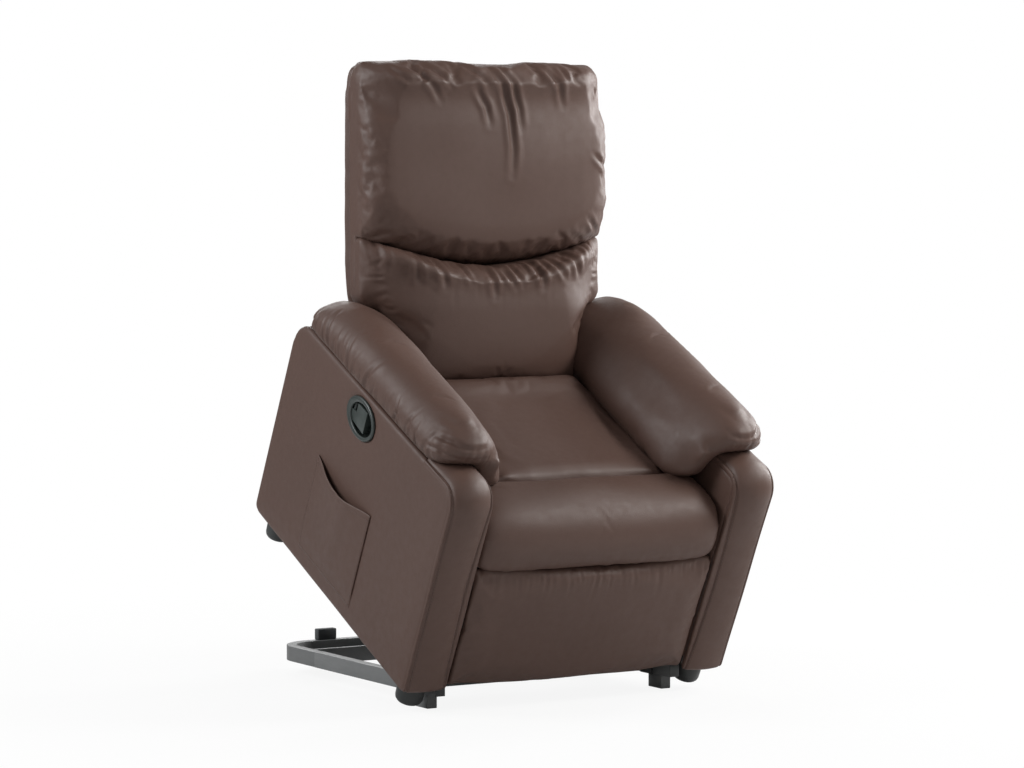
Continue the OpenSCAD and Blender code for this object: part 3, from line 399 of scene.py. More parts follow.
def shade(c, k):
    return (c[0] * k, c[1] * k, c[2] * k, 1.0)


def leather(name, wrinkle):
    """Coated leather: pores and grain, fine wrinkles, lighter wear on edges and painted shade, a much
    darker tone, in the creases.
    """
    base = rgb(82, 61, 53)
    g = Graph(name)
    broad = g.noise(2.2, 3.0)
    fine = g.noise(55.0, 5.0, 0.6)
    tone = g.ramp(broad, [(0.3, shade(base, 0.95)), (0.7, shade(base, 1.05))])
    tone = g.mix(g.span(fine, 0.0, 0.22), tone, shade(base, 0.86))
    # pointiness: high on the outer edges, which get lighter wear, and low in creases and seam grooves
    convexity = g.pointiness()
    tone = g.mix(g.span(convexity, 0.0, 0.22, 0.52, 0.62), tone, shade(base, 1.4))
    # painted shade: the tone falls to less than half in creases and seam grooves, where shade falls
    tone = g.mix(g.span(convexity, 0.45, 0.0, 0.40, 0.485), tone, shade(base, 0.45))
    grain = g.cells(620.0)
    pores = g.noise(1500.0, 2.0)
    soft = g.noise(34.0, 6.0, 0.62)
    normal = g.bump(soft, 0.0016, wrinkle)
    normal = g.bump(grain, 0.00022, 0.55, normal)
    normal = g.bump(pores, 0.00008, 0.5, normal)
    return g.done(Base_Color=tone, Roughness=g.span(fine, 0.49, 0.62), Normal=normal,
                  Specular_IOR_Level=0.4, Coat_Weight=0.03, Coat_Roughness=0.4)


def painted_metal(name, base, rough=(0.42, 0.58), metallic=0.15):
    g = Graph(name)
    broad = g.noise(9.0, 3.0)
    orange_peel = g.noise(420.0, 2.0)
    tone = g.ramp(broad, [(0.3, shade(base, 0.9)), (0.7, shade(base, 1.08))])
    convexity = g.pointiness()
    tone = g.mix(g.span(convexity, 0.0, 0.5, 0.52, 0.6), tone, shade(base, 1.7))
    scuffs = g.noise(120.0, 6.0, 0.7, (1.0, 0.15, 1.0))
    normal = g.bump(orange_peel, 0.00006, 0.6)
    return g.done(Base_Color=tone, Roughness=g.span(scuffs, *rough), Normal=normal, Metallic=metallic)


def bare_metal(name, base, rough=(0.25, 0.42)):
    g = Graph(name)
    brushed = g.noise(260.0, 4.0, 0.6, (0.1, 1.0, 1.0))
    spots = g.noise(14.0, 4.0)
    tone = g.ramp(spots, [(0.3, shade(base, 0.85)), (0.7, shade(base, 1.05))])
    return g.done(Base_Color=tone, Roughness=g.span(brushed, *rough), Metallic=0.95,
                  Normal=g.bump(brushed, 0.00005, 0.5))


def plastic(name, base, rough=(0.38, 0.55), grain=0.4):
    g = Graph(name)
    spark = g.cells(1300.0)
    dust = g.noise(26.0, 6.0, 0.65)
    tone = g.ramp(dust, [(0.35, shade(base, 0.9)), (0.75, shade(base, 1.2))])
    convexity = g.pointiness()
    tone = g.mix(g.span(convexity, 0.0, 0.4, 0.52, 0.6), tone, shade(base, 2.0))
    return g.done(Base_Color=tone, Roughness=g.span(dust, *rough), Normal=g.bump(spark, 0.00008, grain))


def wood(name, base):
    g = Graph(name)
    rings = g.noise(18.0, 5.0, 0.6, (0.35, 6.0, 6.0))
    fibre = g.noise(300.0, 3.0, 0.6, (0.05, 1.0, 1.0))
    tone = g.ramp(rings, [(0.3, shade(base, 0.72)), (0.7, shade(base, 1.1))])
    tone = g.mix(g.span(fibre, 0.0, 0.4), tone, shade(base, 0.6))
    return g.done(Base_Color=tone, Roughness=g.span(fibre, 0.6, 0.8), Normal=g.bump(fibre, 0.0002, 0.5))


def lining(name, base):
    g = Graph(name)
    warp = g.noise(900.0, 2.0, 0.5, (1.0, 0.08, 1.0))
    weft = g.noise(900.0, 2.0, 0.5, (0.08, 1.0, 1.0))
    weave = g.mix(0.5, warp, weft)
    tone = g.ramp(g.noise(6.0, 3.0), [(0.3, shade(base, 0.88)), (0.7, shade(base, 1.1))])
    tone = g.mix(g.span(warp, 0.0, 0.4), tone, shade(base, 0.6))
    return g.done(Base_Color=tone, Roughness=0.9, Normal=g.bump(weave, 0.0002, 0.7))


M_LEATHER = leather("leather", wrinkle=0.22)
M_SMOOTH = leather("leather_taut", wrinkle=0.10)
M_THREAD = plastic("thread", rgb(86, 68, 62), (0.6, 0.8))
M_STEEL = painted_metal("base_paint", rgb(100, 101, 101))
M_FRAME = painted_metal("frame_paint", rgb(52, 54, 55))
M_ZINC = bare_metal("zinc", rgb(196, 198, 196))
M_ROD = bare_metal("ground_steel", rgb(214, 214, 212), (0.12, 0.25))
M_BLACK = plastic("black_plastic", rgb(44, 46, 46))
M_RUBBER = plastic("dark_rubber", rgb(56, 58, 60), (0.6, 0.78), 0.6)
M_HANDLE = plastic("handle_plastic", rgb(50, 56, 54), (0.3, 0.48), 0.3)
M_WOOD = wood("timber", rgb(188, 150, 104))
M_LINING = lining("lining", rgb(58, 52, 50))

# ---------- CAD nodes that keep their own shape ----------

KEPT = {
    M_STEEL: ["base_crossbar"],
    M_FRAME: ["arm_brackets", "link_brackets", "actuator_clevis", "lift_arm_left", "lift_arm_right",
              "torque_tube", "front_lift_links", "actuator_tube", "mechanism_plate_left",
              "mechanism_plate_right", "back_posts", "back_crossbars", "footrest_brackets",
              "footrest_drive_links", "footrest_cross_tube", "footrest_rear_links",
              "footrest_upper_links", "footrest_lower_links"],
    M_ZINC: ["base_pivot_pins", "bracket_bolts", "seat_springs", "chair_fasteners"],
    M_ROD: ["actuator_rod"],
    M_BLACK: ["actuator_motor"],
    M_WOOD: ["seat_side_rails", "seat_cross_rails"],
    M_LINING: ["arm_top_boards", "arm_bottom_rails", "footrest_board"],
}
for material, names in KEPT.items():
    for n in names:
        NODES[n].data.materials.clear()
        NODES[n].data.materials.append(material)

BODY_OF = {n: body for body, members in frame["record"]["behaviour"]["bodies"].items() for n in members}


def place(obj, nodes, material, frame_of=IDENTITY, body=None):
    """Ends a piece: to the shared frame, with its material and body, and the nodes that it stands for
    hidden.
    """
    set_coords(obj, frame_of[1](coords(obj)))
    smooth_shade(obj)
    obj.data.materials.clear()
    obj.data.materials.append(material)
    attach(obj, body or BODY_OF[nodes[0]])
    if nodes:
        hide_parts(*nodes)
    return obj


def beveled(node, width, material, frame_of=IDENTITY, shape=None):
    """A hard CAD node with its edges broken; shape(points) may change it first."""
    obj = copy_nodes(node + "_shape", [node], frame_of[0])
    if shape:
        set_coords(obj, shape(coords(obj)))
    bm = bmesh.new()
    bm.from_mesh(obj.data)
    bmesh.ops.remove_doubles(bm, verts=bm.verts, dist=2e-6)
    bmesh.ops.dissolve_limit(bm, angle_limit=math.radians(1.5), verts=bm.verts, edges=bm.edges)
    bm.to_mesh(obj.data)
    bm.free()
    m = obj.modifiers.new("Bevel", "BEVEL")
    m.width = width
    m.segments = 2
    m.limit_method = "ANGLE"
    m.angle_limit = math.radians(40)
    m.use_clamp_overlap = True
    m.harden_normals = False
    bake_modifiers(obj)
    place(obj, [node], material, frame_of)
    obj.data.set_sharp_from_angle(angle=math.radians(35))
    return obj


for n in ("base_rail_left", "base_rail_right", "base_bend_left", "base_bend_right", "base_rear_tube",
          "base_tray", "front_foot_blocks"):
    beveled(n, 0.0016, M_STEEL)
for n, material in (("rear_foot_pads", M_RUBBER), ("rail_end_caps", M_BLACK), ("rest_blocks", M_RUBBER)):
    beveled(n, 0.002, material)

# ---------- Floor glides ----------


def quads(count, m, closed, round_it=True):
    """Faces between count rings of m points: the last ring meets the first if closed, and each ring its
    own start if round_it."""
    return [(k * m + i, k * m + (i + 1) % m, (k + 1) % count * m + (i + 1) % m, (k + 1) % count * m + i)
            for k in range(count if closed else count - 1) for i in range(m if round_it else m - 1)]


def lathe(profile, count, centre):
    """A profile of (radius, z) turned about an upright axis at centre."""
    rings = []
    for k in range(count):
        a = 2 * math.pi * k / count
        rings.append([(centre[0] + r * math.cos(a), centre[1] + r * math.sin(a), z) for r, z in profile])
    m = len(profile)
    verts = [p for ring in rings for p in ring]
    faces = quads(count, m, True, False)
    faces.append([k * m for k in range(count)][::-1])
    faces.append([k * m + m - 1 for k in range(count)])
    return np.array(verts), faces


def merge(parts):
    verts, faces = [], []
    for v, f in parts:
        base = sum(len(x) for x in verts)
        verts.append(np.asarray(v, float))
        faces += [tuple(base + i for i in face) for face in f]
    return np.concatenate(verts), faces


# a foot with a groove under its collar: (radius, z below the arm)
GLIDE = [(0.012, 0.0), (0.0285, 0.0), (0.0293, -0.0012), (0.0295, -0.006), (0.0292, -0.0085),
         (0.0286, -0.0095), (0.0286, -0.0118), (0.0291, -0.013), (0.0289, -0.026), (0.0285, -0.038),
         (0.0272, -0.043), (0.0246, -0.0462), (0.021, -0.0474), (0.012, -0.0475)]
GLIDE_X, GLIDE_Y = 0.3305, (0.042, 0.671)
glides = new_object("glides", *merge([lathe(GLIDE, 48, (s * GLIDE_X, y)) for s in SIDES for y in GLIDE_Y]))
place(glides, ["floor_glides"], M_BLACK, SEAT)
glides.data.set_sharp_from_angle(angle=math.radians(50))

# ---------- Lofts and stitches ----------


def loft(rings):
    """A closed skin over rings of equally many points."""
    rings = np.array(rings, float)
    count, m = rings.shape[:2]
    verts = rings.reshape(-1, 3)
    faces = quads(count, m, False)
    faces.append(list(range(m))[::-1])
    faces.append([(count - 1) * m + i for i in range(m)])
    return verts, faces


def along(path, step):
    """Evenly spaced points on a polyline, with their directions."""
    path = np.array(path, float)
    seg = np.linalg.norm(np.diff(path, axis=0), axis=1)
    run = np.concatenate([[0], np.cumsum(seg)])
    at = np.arange(step / 2, run[-1], step)

    def on(u):
        return np.stack([np.interp(u, run, path[:, k]) for k in range(3)], 1)

    d = on(np.minimum(at + step / 3, run[-1])) - on(np.maximum(at - step / 3, 0))
    return on(at), d / np.linalg.norm(d, axis=1, keepdims=True)


STITCH_STEP, STITCH_LENGTH, THREAD_R = 0.0068, 0.0048, 0.00055
# along a stitch from end to end: (place, share of the radius, height in radii)
PILL = ((-1, 0.3, -0.9), (-0.75, 0.85, -0.1), (0, 1.0, 0.35), (0.75, 0.85, -0.1), (1, 0.3, -0.9))


def stitch_row(path, out):
    """Thread stitches along a path: short pills with their ends dipping into the leather."""
    parts = []
    pts, dirs = along(path, STITCH_STEP)
    out = np.broadcast_to(np.asarray(out, float), pts.shape)
    for p, d, o in zip(pts, dirs, out):
        o = o - d * (o @ d)
        o /= np.linalg.norm(o)
        side = np.cross(d, o)
        rings = []
        for u, r, h in PILL:
            c = p + d * u * STITCH_LENGTH / 2 + o * h * THREAD_R
            rings.append([c + THREAD_R * r * (math.cos(a) * side + math.sin(a) * o)
                          for a in np.linspace(0, 2 * math.pi, 7)[:-1]])
        parts.append(loft(rings))
    return parts


def stitches(name, rows, frame_of, body):
    obj = new_object(name, *merge([part for row in rows for part in row]))
    return place(obj, [], M_THREAD, frame_of, body=body)


# ---------- Arms ----------


NOSE_R, FOOT_R = 0.046, 0.012        # the arm front's upper and lower corner
STRIP_END_Y = 0.128                  # where its strip ends, under the pad
GROOVE_DEPTH, GROOVE_W = 0.0030, 0.0018
SEAM_STEP = 0.0028                   # from a groove to its row of thread


def profile_front():
    """The arm front's outer line from under the pad down to the floor edge: (y, z, normal's y and z)."""
    def bend(r, z, angles):
        for a in angles:
            c, s = math.cos(math.radians(a)), math.sin(math.radians(a))
            yield FRONT_Y + r + r * c, z + r * s, c, s

    pts = [(y, PANEL_H, 0.0, 1.0) for y in np.linspace(STRIP_END_Y, FRONT_Y + NOSE_R, 14)[:-1]]
    pts += bend(NOSE_R, PANEL_H - NOSE_R, np.linspace(90, 180, 14))
    pts += [(FRONT_Y, z, -1.0, 0.0) for z in np.linspace(PANEL_H - NOSE_R, FOOT_R, 60)[1:]]
    pts += bend(FOOT_R, FOOT_R, np.linspace(180, 240, 6)[1:])
    return pts


def arm_front(side):
    """A padded strip round the front of the arm, fullest at its top corner and drawn in at its seams."""
    name = "arm_front_" + SIDES[side]
    x0, x1 = INNER_X + 0.0004, OUTER_X - 0.0008
    mid, half = (x0 + x1) / 2, (x1 - x0) / 2
    line = profile_front()
    rings = []
    count = len(line)
    seam_in, seam_out, bases = [], [], []
    for k, (y, z, ny, nz) in enumerate(line):
        low = 1 - z / PANEL_H
        end = min(1.0, (count - 1 - k) / 5 + 0.12)
        top = rise(z, 0.30, 0.16)
        full = 0.007 + 0.011 * top * min(1, 0.35 + k / 14)
        u_in = -1 + (0.005 + 0.010 * math.sin(math.pi * min(1, low))) / half
        u_out = 1 - 0.0065 / half
        ring = []
        for u in np.linspace(-1, 1, 64):
            edge = max(0.0, 1 - abs(u) ** 12) ** 0.5
            groove = GROOVE_DEPTH * (math.exp(-(((u - u_in) * half / GROOVE_W) ** 2))
                                     + math.exp(-(((u - u_out) * half / GROOVE_W) ** 2)))
            dome = full * (max(0.0, 1 - ((2 * u - u_in - u_out) / (u_out - u_in)) ** 2)) ** 0.8
            h = -0.004 + 0.004 * edge + dome * end - groove
            ring.append((side * (mid + u * half), y + ny * h, z + nz * h))
        for u in (1.0, 0.5, 0.0, -0.5, -1.0):
            ring.append((side * (mid + u * half * 0.99), y - ny * 0.021, z - nz * 0.021))
        rings.append(ring if side > 0 else ring[::-1])
        for seams, u, step in ((seam_in, u_in, SEAM_STEP), (seam_out, u_out, -SEAM_STEP)):
            seams.append((side * (mid + u * half + step), y + ny * 0.0009, z + nz * 0.0009))
        bases.append((0.0, ny, nz))
    obj = new_object(name + "_cover", *loft(rings[::-1]))
    subdivide(obj)
    push(obj, lambda p, n: lumps(p, 0.16, 0.0008, 5 + side))
    place(obj, [name], M_SMOOTH, SEAT)
    rows = []
    for seams in (seam_in, seam_out):
        # no thread where the pad and the floor edge hide it
        route, base = np.array(seams)[10:-4], np.array(bases)[10:-4]
        pts, _ = along(route, STITCH_STEP)
        near = [int(np.argmin(((route - p) ** 2).sum(1))) for p in pts]
        rows.append(stitch_row(route, base[near]))
    stitches(name + "_stitches", rows, SEAT, "chair")


for s in SIDES:
    arm_front(s)


def side_panel(side):
    """A slightly swollen panel, drawn in flat round the bezel on the left."""
    name = "side_panel_" + SIDES[side]
    obj = copy_nodes(name + "_cover", [name], to_seat)
    remesh(obj, 0.005, 10)
    subdivide(obj)

    def amount(p, n):
        outer = n[:, 0] * side > 0.5
        edge = np.minimum.reduce([p[:, 1] - FRONT_Y, REAR_Y - p[:, 1], p[:, 2], PANEL_H - p[:, 2]])
        swell = 0.0022 * ease(edge / 0.05)
        if side < 0:
            dimple = np.hypot((p[:, 1] - HANDLE[0]) / 0.060, (p[:, 2] - HANDLE[1]) / 0.042)
            swell = swell * (1 - np.exp(-((np.maximum(dimple - 1, 0)) / 0.5) ** 2))
        return np.where(outer, swell + lumps(p, 0.3, 0.0005, 3), 0.0)

    push(obj, amount)
    place(obj, [name], M_SMOOTH, SEAT)


for s in SIDES:
    side_panel(s)


def board(name, forward=0.0, upward=0.0):
    """An upholstered board: the solid's copy, a little enlarged at its front and its top."""
    obj = copy_nodes(name + "_cover", [name], to_seat)
    co = coords(obj)
    co[:, 1] = np.where(co[:, 1] < 0.05, co[:, 1] - forward, co[:, 1])
    co[:, 2] = np.where(co[:, 2] > 0.40, co[:, 2] + upward, co[:, 2])
    set_coords(obj, co)
    remesh(obj, 0.005, 4)
    push(obj, lambda p, n: lumps(p, 0.2, 0.0005, 8))
    place(obj, [name], M_SMOOTH, SEAT)


# the inner panels reach under the arm fronts and the pads
board("inner_panels", 0.013, 0.012)
board("rear_panels")

PAD_MIDDLE_X = 0.330
# Folds that run back from the nose of each pad: points (y, z), width, depth
PAD_FOLDS = [([(0.040, 0.520), (0.075, 0.527), (0.115, 0.523)], 0.004, 0.0030),
             ([(0.050, 0.500), (0.090, 0.505), (0.125, 0.498)], 0.004, 0.0026),
             ([(0.060, 0.543), (0.095, 0.550), (0.140, 0.548)], 0.005, 0.0018)]


def arm_pad(side):
    """A pad over an arm, gathered into the panel's seam outside and hanging over the seat inside."""
    name = "arm_pad_" + SIDES[side]
    obj = copy_nodes(name + "_cushion", [name], to_seat)
    co = coords(obj)
    x, y, z = np.abs(co[:, 0]), co[:, 1].copy(), co[:, 2].copy()
    # blunt, rounded ends instead of lips
    nose = 0.45 + 0.55 * rise(y, 0.020, 0.075)
    tail = 0.55 + 0.45 * fall(y, 0.702, 0.070)
    x = np.where(x > PAD_MIDDLE_X, PAD_MIDDLE_X + (x - PAD_MIDDLE_X) * nose * tail, x)
    # the inner side hangs over the seat, less at the nose, where it droops instead
    hang = fall(x, 0.292, 0.055) * fall(z, 0.52 + 0.05 * rise(y, 0.3, 0.2), 0.09)
    x -= (0.036 - 0.032 * fall(y, 0.15, 0.11)) * hang
    z -= 0.018 * hang * fall(y, 0.16, 0.12)
    y += 0.012 * fall(y, 0.075, 0.05)
    z += 0.010 * rise(y, 0.45, 0.15) * rise(z, 0.47, 0.03) - 0.010 * rise(y, 0.66, 0.05)
    set_coords(obj, np.stack([side * x, y, z], 1))
    remesh(obj, 0.005, 8)

    def rounded(p):
        """The nose, the tail and the inner side."""
        x, y, z = np.abs(p[:, 0]), p[:, 1], p[:, 2]
        return np.maximum.reduce([fall(y, 0.115, 0.05) * rise(z, 0.44, 0.03), rise(y, 0.645, 0.04),
                                  fall(x, 0.318, 0.03) * rise(z, 0.412, 0.02)])

    def resting(p):
        """The underside, on the arm."""
        x, z = np.abs(p[:, 0]), p[:, 2]
        return (x > 0.279) & (z < PANEL_H + 0.004) | (x > 0.272) & (z < 0.455)

    blunt(obj, rounded, 50)
    puff(obj, resting, 3.5, 0.012, 16)
    blunt(obj, lambda p: 0.8 * fall(np.abs(p[:, 0]), 0.302, 0.02) * rise(p[:, 2], 0.40, 0.02), 14)
    subdivide(obj)

    def amount(p, n):
        x, y, z = np.abs(p[:, 0]), p[:, 1], p[:, 2]
        above = z - PANEL_H
        out = lumps(p, 0.14, 0.0012, 20 + side)
        # the outer seam, calmer at the nose
        outer = rise(x, 0.345, 0.02) * rise(above, 0.003, 0.014)
        outer *= 0.35 + 0.65 * rise(y, 0.07, 0.06)
        out += outer * gathers(y, above - 0.006, 31 + side, 0.030, 0.0026, 0.040)
        out += outer * pleats(y, above - 0.014, 35 + side, 0.022, 0.0030, 0.044, 0.0045, 0.5)
        # the nose's own seam
        front = fall(y, 0.16, 0.09) * rise(x, 0.235, 0.03) * fall(np.abs(n[:, 0]), 0.85, 0.4)
        away = np.hypot(np.maximum(z - 0.49, 0), y - 0.03)
        out += front * pleats(x, away, 41 + side, 0.024, 0.0014, 0.045, 0.0045, 0.3)
        # the inner side's lower edge
        inner = fall(x, 0.262, 0.02) * fall(z, 0.45, 0.04)
        out += inner * gathers(y, z - 0.386, 51 + side, 0.026, 0.0010, 0.035)
        yz = np.stack([y, z], 1)
        for line, w, d in PAD_FOLDS:
            out += rise(x, 0.275, 0.03) * crease(yz, line, w, d, 0.6)
        return out

    push(obj, amount)
    place(obj, [name], M_LEATHER, SEAT)


for s in SIDES:
    arm_pad(s)

# ---------- Seat, front roll and footrest ----------


def round_run(points):
    """A closed smooth run through points, four steps from each to the next."""
    pts = np.array(points, float)
    m = len(pts)
    out = []
    for i in range(m):
        a, b, c, d = pts[i - 1], pts[i], pts[(i + 1) % m], pts[(i + 2) % m]
        turn = (2 * a - 5 * b + 4 * c - d) / 2
        twist = 3 * b - a - 3 * c + d
        for t in (0, 0.25, 0.5, 0.75):
            out.append(b + t * ((c - a) / 2 + t * (turn + t * twist / 2)))
    return np.array(out)


def bolster(name, section, half_w, centre, ends, power):
    """A cushion with a (y, z) section across its width, drawn in towards centre at both ends."""
    ring = round_run(section)
    rings = []
    for v in -np.cos(np.linspace(0, np.pi, 61)):
        swell = ends + (1 - ends) * max(0.0, 1 - abs(v) ** power) ** (1 / 2.2)
        yz = np.array(centre) + (ring - centre) * swell
        rings.append([(v * half_w, a, b) for a, b in yz])
    return new_object(name, *loft(rings))


SEAT_HALF, ROLL_HALF = 0.2785, 0.2775
SEAT_SECTION = [(0.139, 0.294), (0.300, 0.292), (0.525, 0.292), (0.537, 0.305), (0.536, 0.345),
                (0.522, 0.380), (0.505, 0.412), (0.492, 0.428), (0.474, 0.427), (0.450, 0.416),
                (0.400, 0.406), (0.300, 0.403), (0.200, 0.402), (0.153, 0.4035), (0.139, 0.401),
                (0.136, 0.340)]
ROLL_SECTION = [(0.131, 0.279), (0.062, 0.277), (0.048, 0.274), (0.020, 0.272), (-0.004, 0.273),
                (-0.014, 0.286), (-0.019, 0.312), (-0.018, 0.336), (-0.009, 0.362), (0.010, 0.385),
                (0.038, 0.398), (0.072, 0.403), (0.114, 0.403), (0.131, 0.400), (0.135, 0.340)]


def seat_cushion():
    obj = bolster("seat_cushion_pad", SEAT_SECTION, SEAT_HALF, (0.33, 0.33), 0.9, 22)
    co = coords(obj)
    # its top drops at the sides, under the pads, and more at the rear
    side = rise(np.abs(co[:, 0]), 0.165, 0.05) * rise(co[:, 2], 0.30, 0.09)
    co[:, 2] -= (0.016 + 0.016 * rise(co[:, 1], 0.45, 0.04)) * side
    set_coords(obj, co)
    remesh(obj, 0.006, 3)
    puff(obj, lambda p: (p[:, 2] < 0.300) | (p[:, 1] > 0.515), 2.0, 0.010, 12, 0.01)
    subdivide(obj)

    def amount(p, n):
        x, y, z = p.T
        top = rise(n[:, 2], 0.3, 0.4)
        out = lumps(p, 0.22, 0.0018, 61)
        out += top * gathers(x, y - 0.138, 62, 0.05, 0.0014, 0.05)
        out += top * gathers(y, 0.225 - np.abs(x), 63, 0.055, 0.0016, 0.06)
        return np.where(z < 0.31, 0, out)

    push(obj, amount)
    place(obj, ["seat_cushion"], M_LEATHER, SEAT)


def front_roll():
    obj = bolster("front_roll_pad", ROLL_SECTION, ROLL_HALF, (0.080, 0.300), 0.72, 9)
    remesh(obj, 0.0055, 10)
    puff(obj, lambda p: (p[:, 2] < 0.280) | (p[:, 1] > 0.130), 2.5, 0.009, 12)
    subdivide(obj)

    def amount(p, n):
        x, y, z = p.T
        out = lumps(p, 0.2, 0.0016, 71)
        out += gathers(x, z - 0.276, 72, 0.026, 0.0016, 0.022)
        around = np.arctan2(z - 0.33, y - 0.06) * 0.07
        out += gathers(around, ROLL_HALF - np.abs(x), 73, 0.03, 0.0018, 0.03)
        return out

    push(obj, amount)
    place(obj, ["front_roll"], M_LEATHER, SEAT)


def footrest_cushion():
    obj = copy_nodes("footrest_pad", ["footrest_cushion"], to_seat)
    co = coords(obj)
    # it reaches up to the roll and out to the arm fronts, and its sides come forward
    co[:, 2] = 0.2725 - (0.271 - co[:, 2]) * (0.2665 / 0.257)
    co[:, 0] *= 1.014
    co[:, 1] -= 0.010 * rise(np.abs(co[:, 0]), 0.240, 0.03) * fall(co[:, 1], 0.020, 0.01)
    set_coords(obj, co)
    remesh(obj, 0.005, 3)
    puff(obj, lambda p: p[:, 1] > 0.0205, 2.5, 0.008, 12, 0.012)
    subdivide(obj)

    def amount(p, n):
        x, y, z = p.T
        face = rise(-n[:, 1], 0.1, 0.4)
        out = lumps(p, 0.18, 0.0014, 81)
        top = fall(z, 0.270, 0.008)
        out += face * top * pleats(x, 0.262 - z, 82, 0.022, 0.0011, 0.028, 0.004, 0.1)
        out += face * gathers(z, 0.27 - np.abs(x), 83, 0.022, 0.0018, 0.035)
        return out

    push(obj, amount)
    place(obj, ["footrest_cushion"], M_LEATHER, SEAT)


seat_cushion()
front_roll()
footrest_cushion()

# ---------- Backrest ----------


def join(obj, verts, faces):
    bm = bmesh.new()
    bm.from_mesh(obj.data)
    made = [bm.verts.new(v) for v in verts]
    for f in faces:
        bm.faces.new([made[i] for i in f])
    bm.to_mesh(obj.data)
    bm.free()


HINGE_S = 0.5529
SOLID_NARROW = 0.222                     # half the solids' width between the arms
STEP_S, STEP_SPAN = 0.207, 0.014         # where it widens, over the hinge
REAR_T, REAR_SHIFT = 0.34, 0.024         # the solids' rear, and how far it moves to meet the cover
PINNED_T, BOXING_T = 0.336, 0.381        # where the cloth is held, and where the boxing ends
HEAD_TOP, HEAD_REAR_TOP = 1.256, 1.255
FOLD_WIDTH = 1.15
# half width by height over the hinge: narrow between the arms, wide over the pads
HALF_AT = ([0.0, 0.140, 0.193, 0.208, 0.227, 0.253, 0.275, 0.36],
           [0.222, 0.227, 0.243, 0.252, 0.262, 0.271, 0.276, 0.284])
# the back's rear stays wide down to the pads: half width by height
SHELL_HALF = ([0.60, 0.735, 0.752, 0.772], [0.222, 0.238, 0.277, 0.290])


def boxing(half, low, high, front):
    """The square-edged rear of a back cushion: half(s) wide, from low(x) to high(x)."""
    rings = []
    for v in np.linspace(0, 1, 26):
        line = []
        for u in np.linspace(-1, 1, 26):
            height = low(0.28 * u) + v * (high(0.28 * u) - low(0.28 * u))
            line.append((u * half(height), height))
        rings.append([(x, front, h) for x, h in line] + [(x, BOXING_T, h) for x, h in line[::-1]])
    return loft(rings)


def half_width(s):
    """Half width of the lumbar cushion at height s."""
    return np.interp(s - HINGE_S, *HALF_AT)


def solid_half(s, wide):
    """Half width of the back's solids, which step out over the pads."""
    return SOLID_NARROW + (wide - SOLID_NARROW) * rise(s - HINGE_S, STEP_S, STEP_SPAN)


def round_front(p, share):
    """Draws the sides in towards the front face."""
    p[:, 0] *= 1 - share * fall(p[:, 1], 0.312, 0.045) * rise(np.abs(p[:, 0]), 0.12, 0.12)
    return p


# Folds on the back in its own frame: points (x, height), width, depth
HEAD_FOLDS = [([(-0.242, 1.242), (-0.226, 1.224), (-0.204, 1.209)], 0.0045, 0.0028),
              ([(-0.220, 1.252), (-0.187, 1.234), (-0.154, 1.201), (-0.137, 1.174)], 0.0055, 0.0042),
              ([(-0.165, 1.248), (-0.132, 1.225), (-0.112, 1.199)], 0.005, 0.0036),
              ([(-0.081, 1.252), (-0.042, 1.226), (-0.025, 1.202)], 0.005, 0.0036),
              ([(-0.058, 1.205), (-0.030, 1.163), (-0.022, 1.125)], 0.0055, 0.0046),
              ([(-0.025, 1.255), (0.009, 1.203), (0.026, 1.149), (0.032, 1.076), (0.029, 1.020)],
               0.006, 0.0052),
              ([(0.004, 1.255), (0.032, 1.208), (0.049, 1.159), (0.052, 1.115)], 0.0055, 0.0048),
              ([(0.112, 1.250), (0.147, 1.205), (0.159, 1.165)], 0.0055, 0.0040),
              ([(0.159, 1.250), (0.170, 1.215)], 0.005, 0.0028),
              ([(0.235, 1.068), (0.258, 1.048), (0.276, 1.032)], 0.005, 0.0030),
              ([(0.225, 0.932), (0.245, 0.914), (0.266, 0.902)], 0.005, 0.0036),
              ([(0.250, 1.206), (0.272, 1.186)], 0.004, 0.0024)]
LUMBAR_FOLDS = [([(-0.200, 0.858), (-0.187, 0.795)], 0.0055, 0.0036),
                ([(-0.147, 0.850), (-0.134, 0.788)], 0.006, 0.0040),
                ([(-0.088, 0.838), (-0.075, 0.795)], 0.005, 0.0030),
                ([(-0.031, 0.838), (-0.020, 0.768)], 0.006, 0.0042),
                ([(0.000, 0.836), (0.027, 0.788)], 0.005, 0.0036),
                ([(0.034, 0.840), (0.045, 0.792)], 0.005, 0.0034),
                ([(0.083, 0.852), (0.099, 0.788)], 0.0065, 0.0058),
                ([(0.124, 0.852), (0.156, 0.804)], 0.0055, 0.0042),
                ([(0.168, 0.872), (0.203, 0.806)], 0.006, 0.0042)]


def seam_height(x):
    """Where head and lumbar cushions meet."""
    return 0.896 - 0.060 * (1 - np.minimum(1, np.abs(x) / 0.29) ** 2)


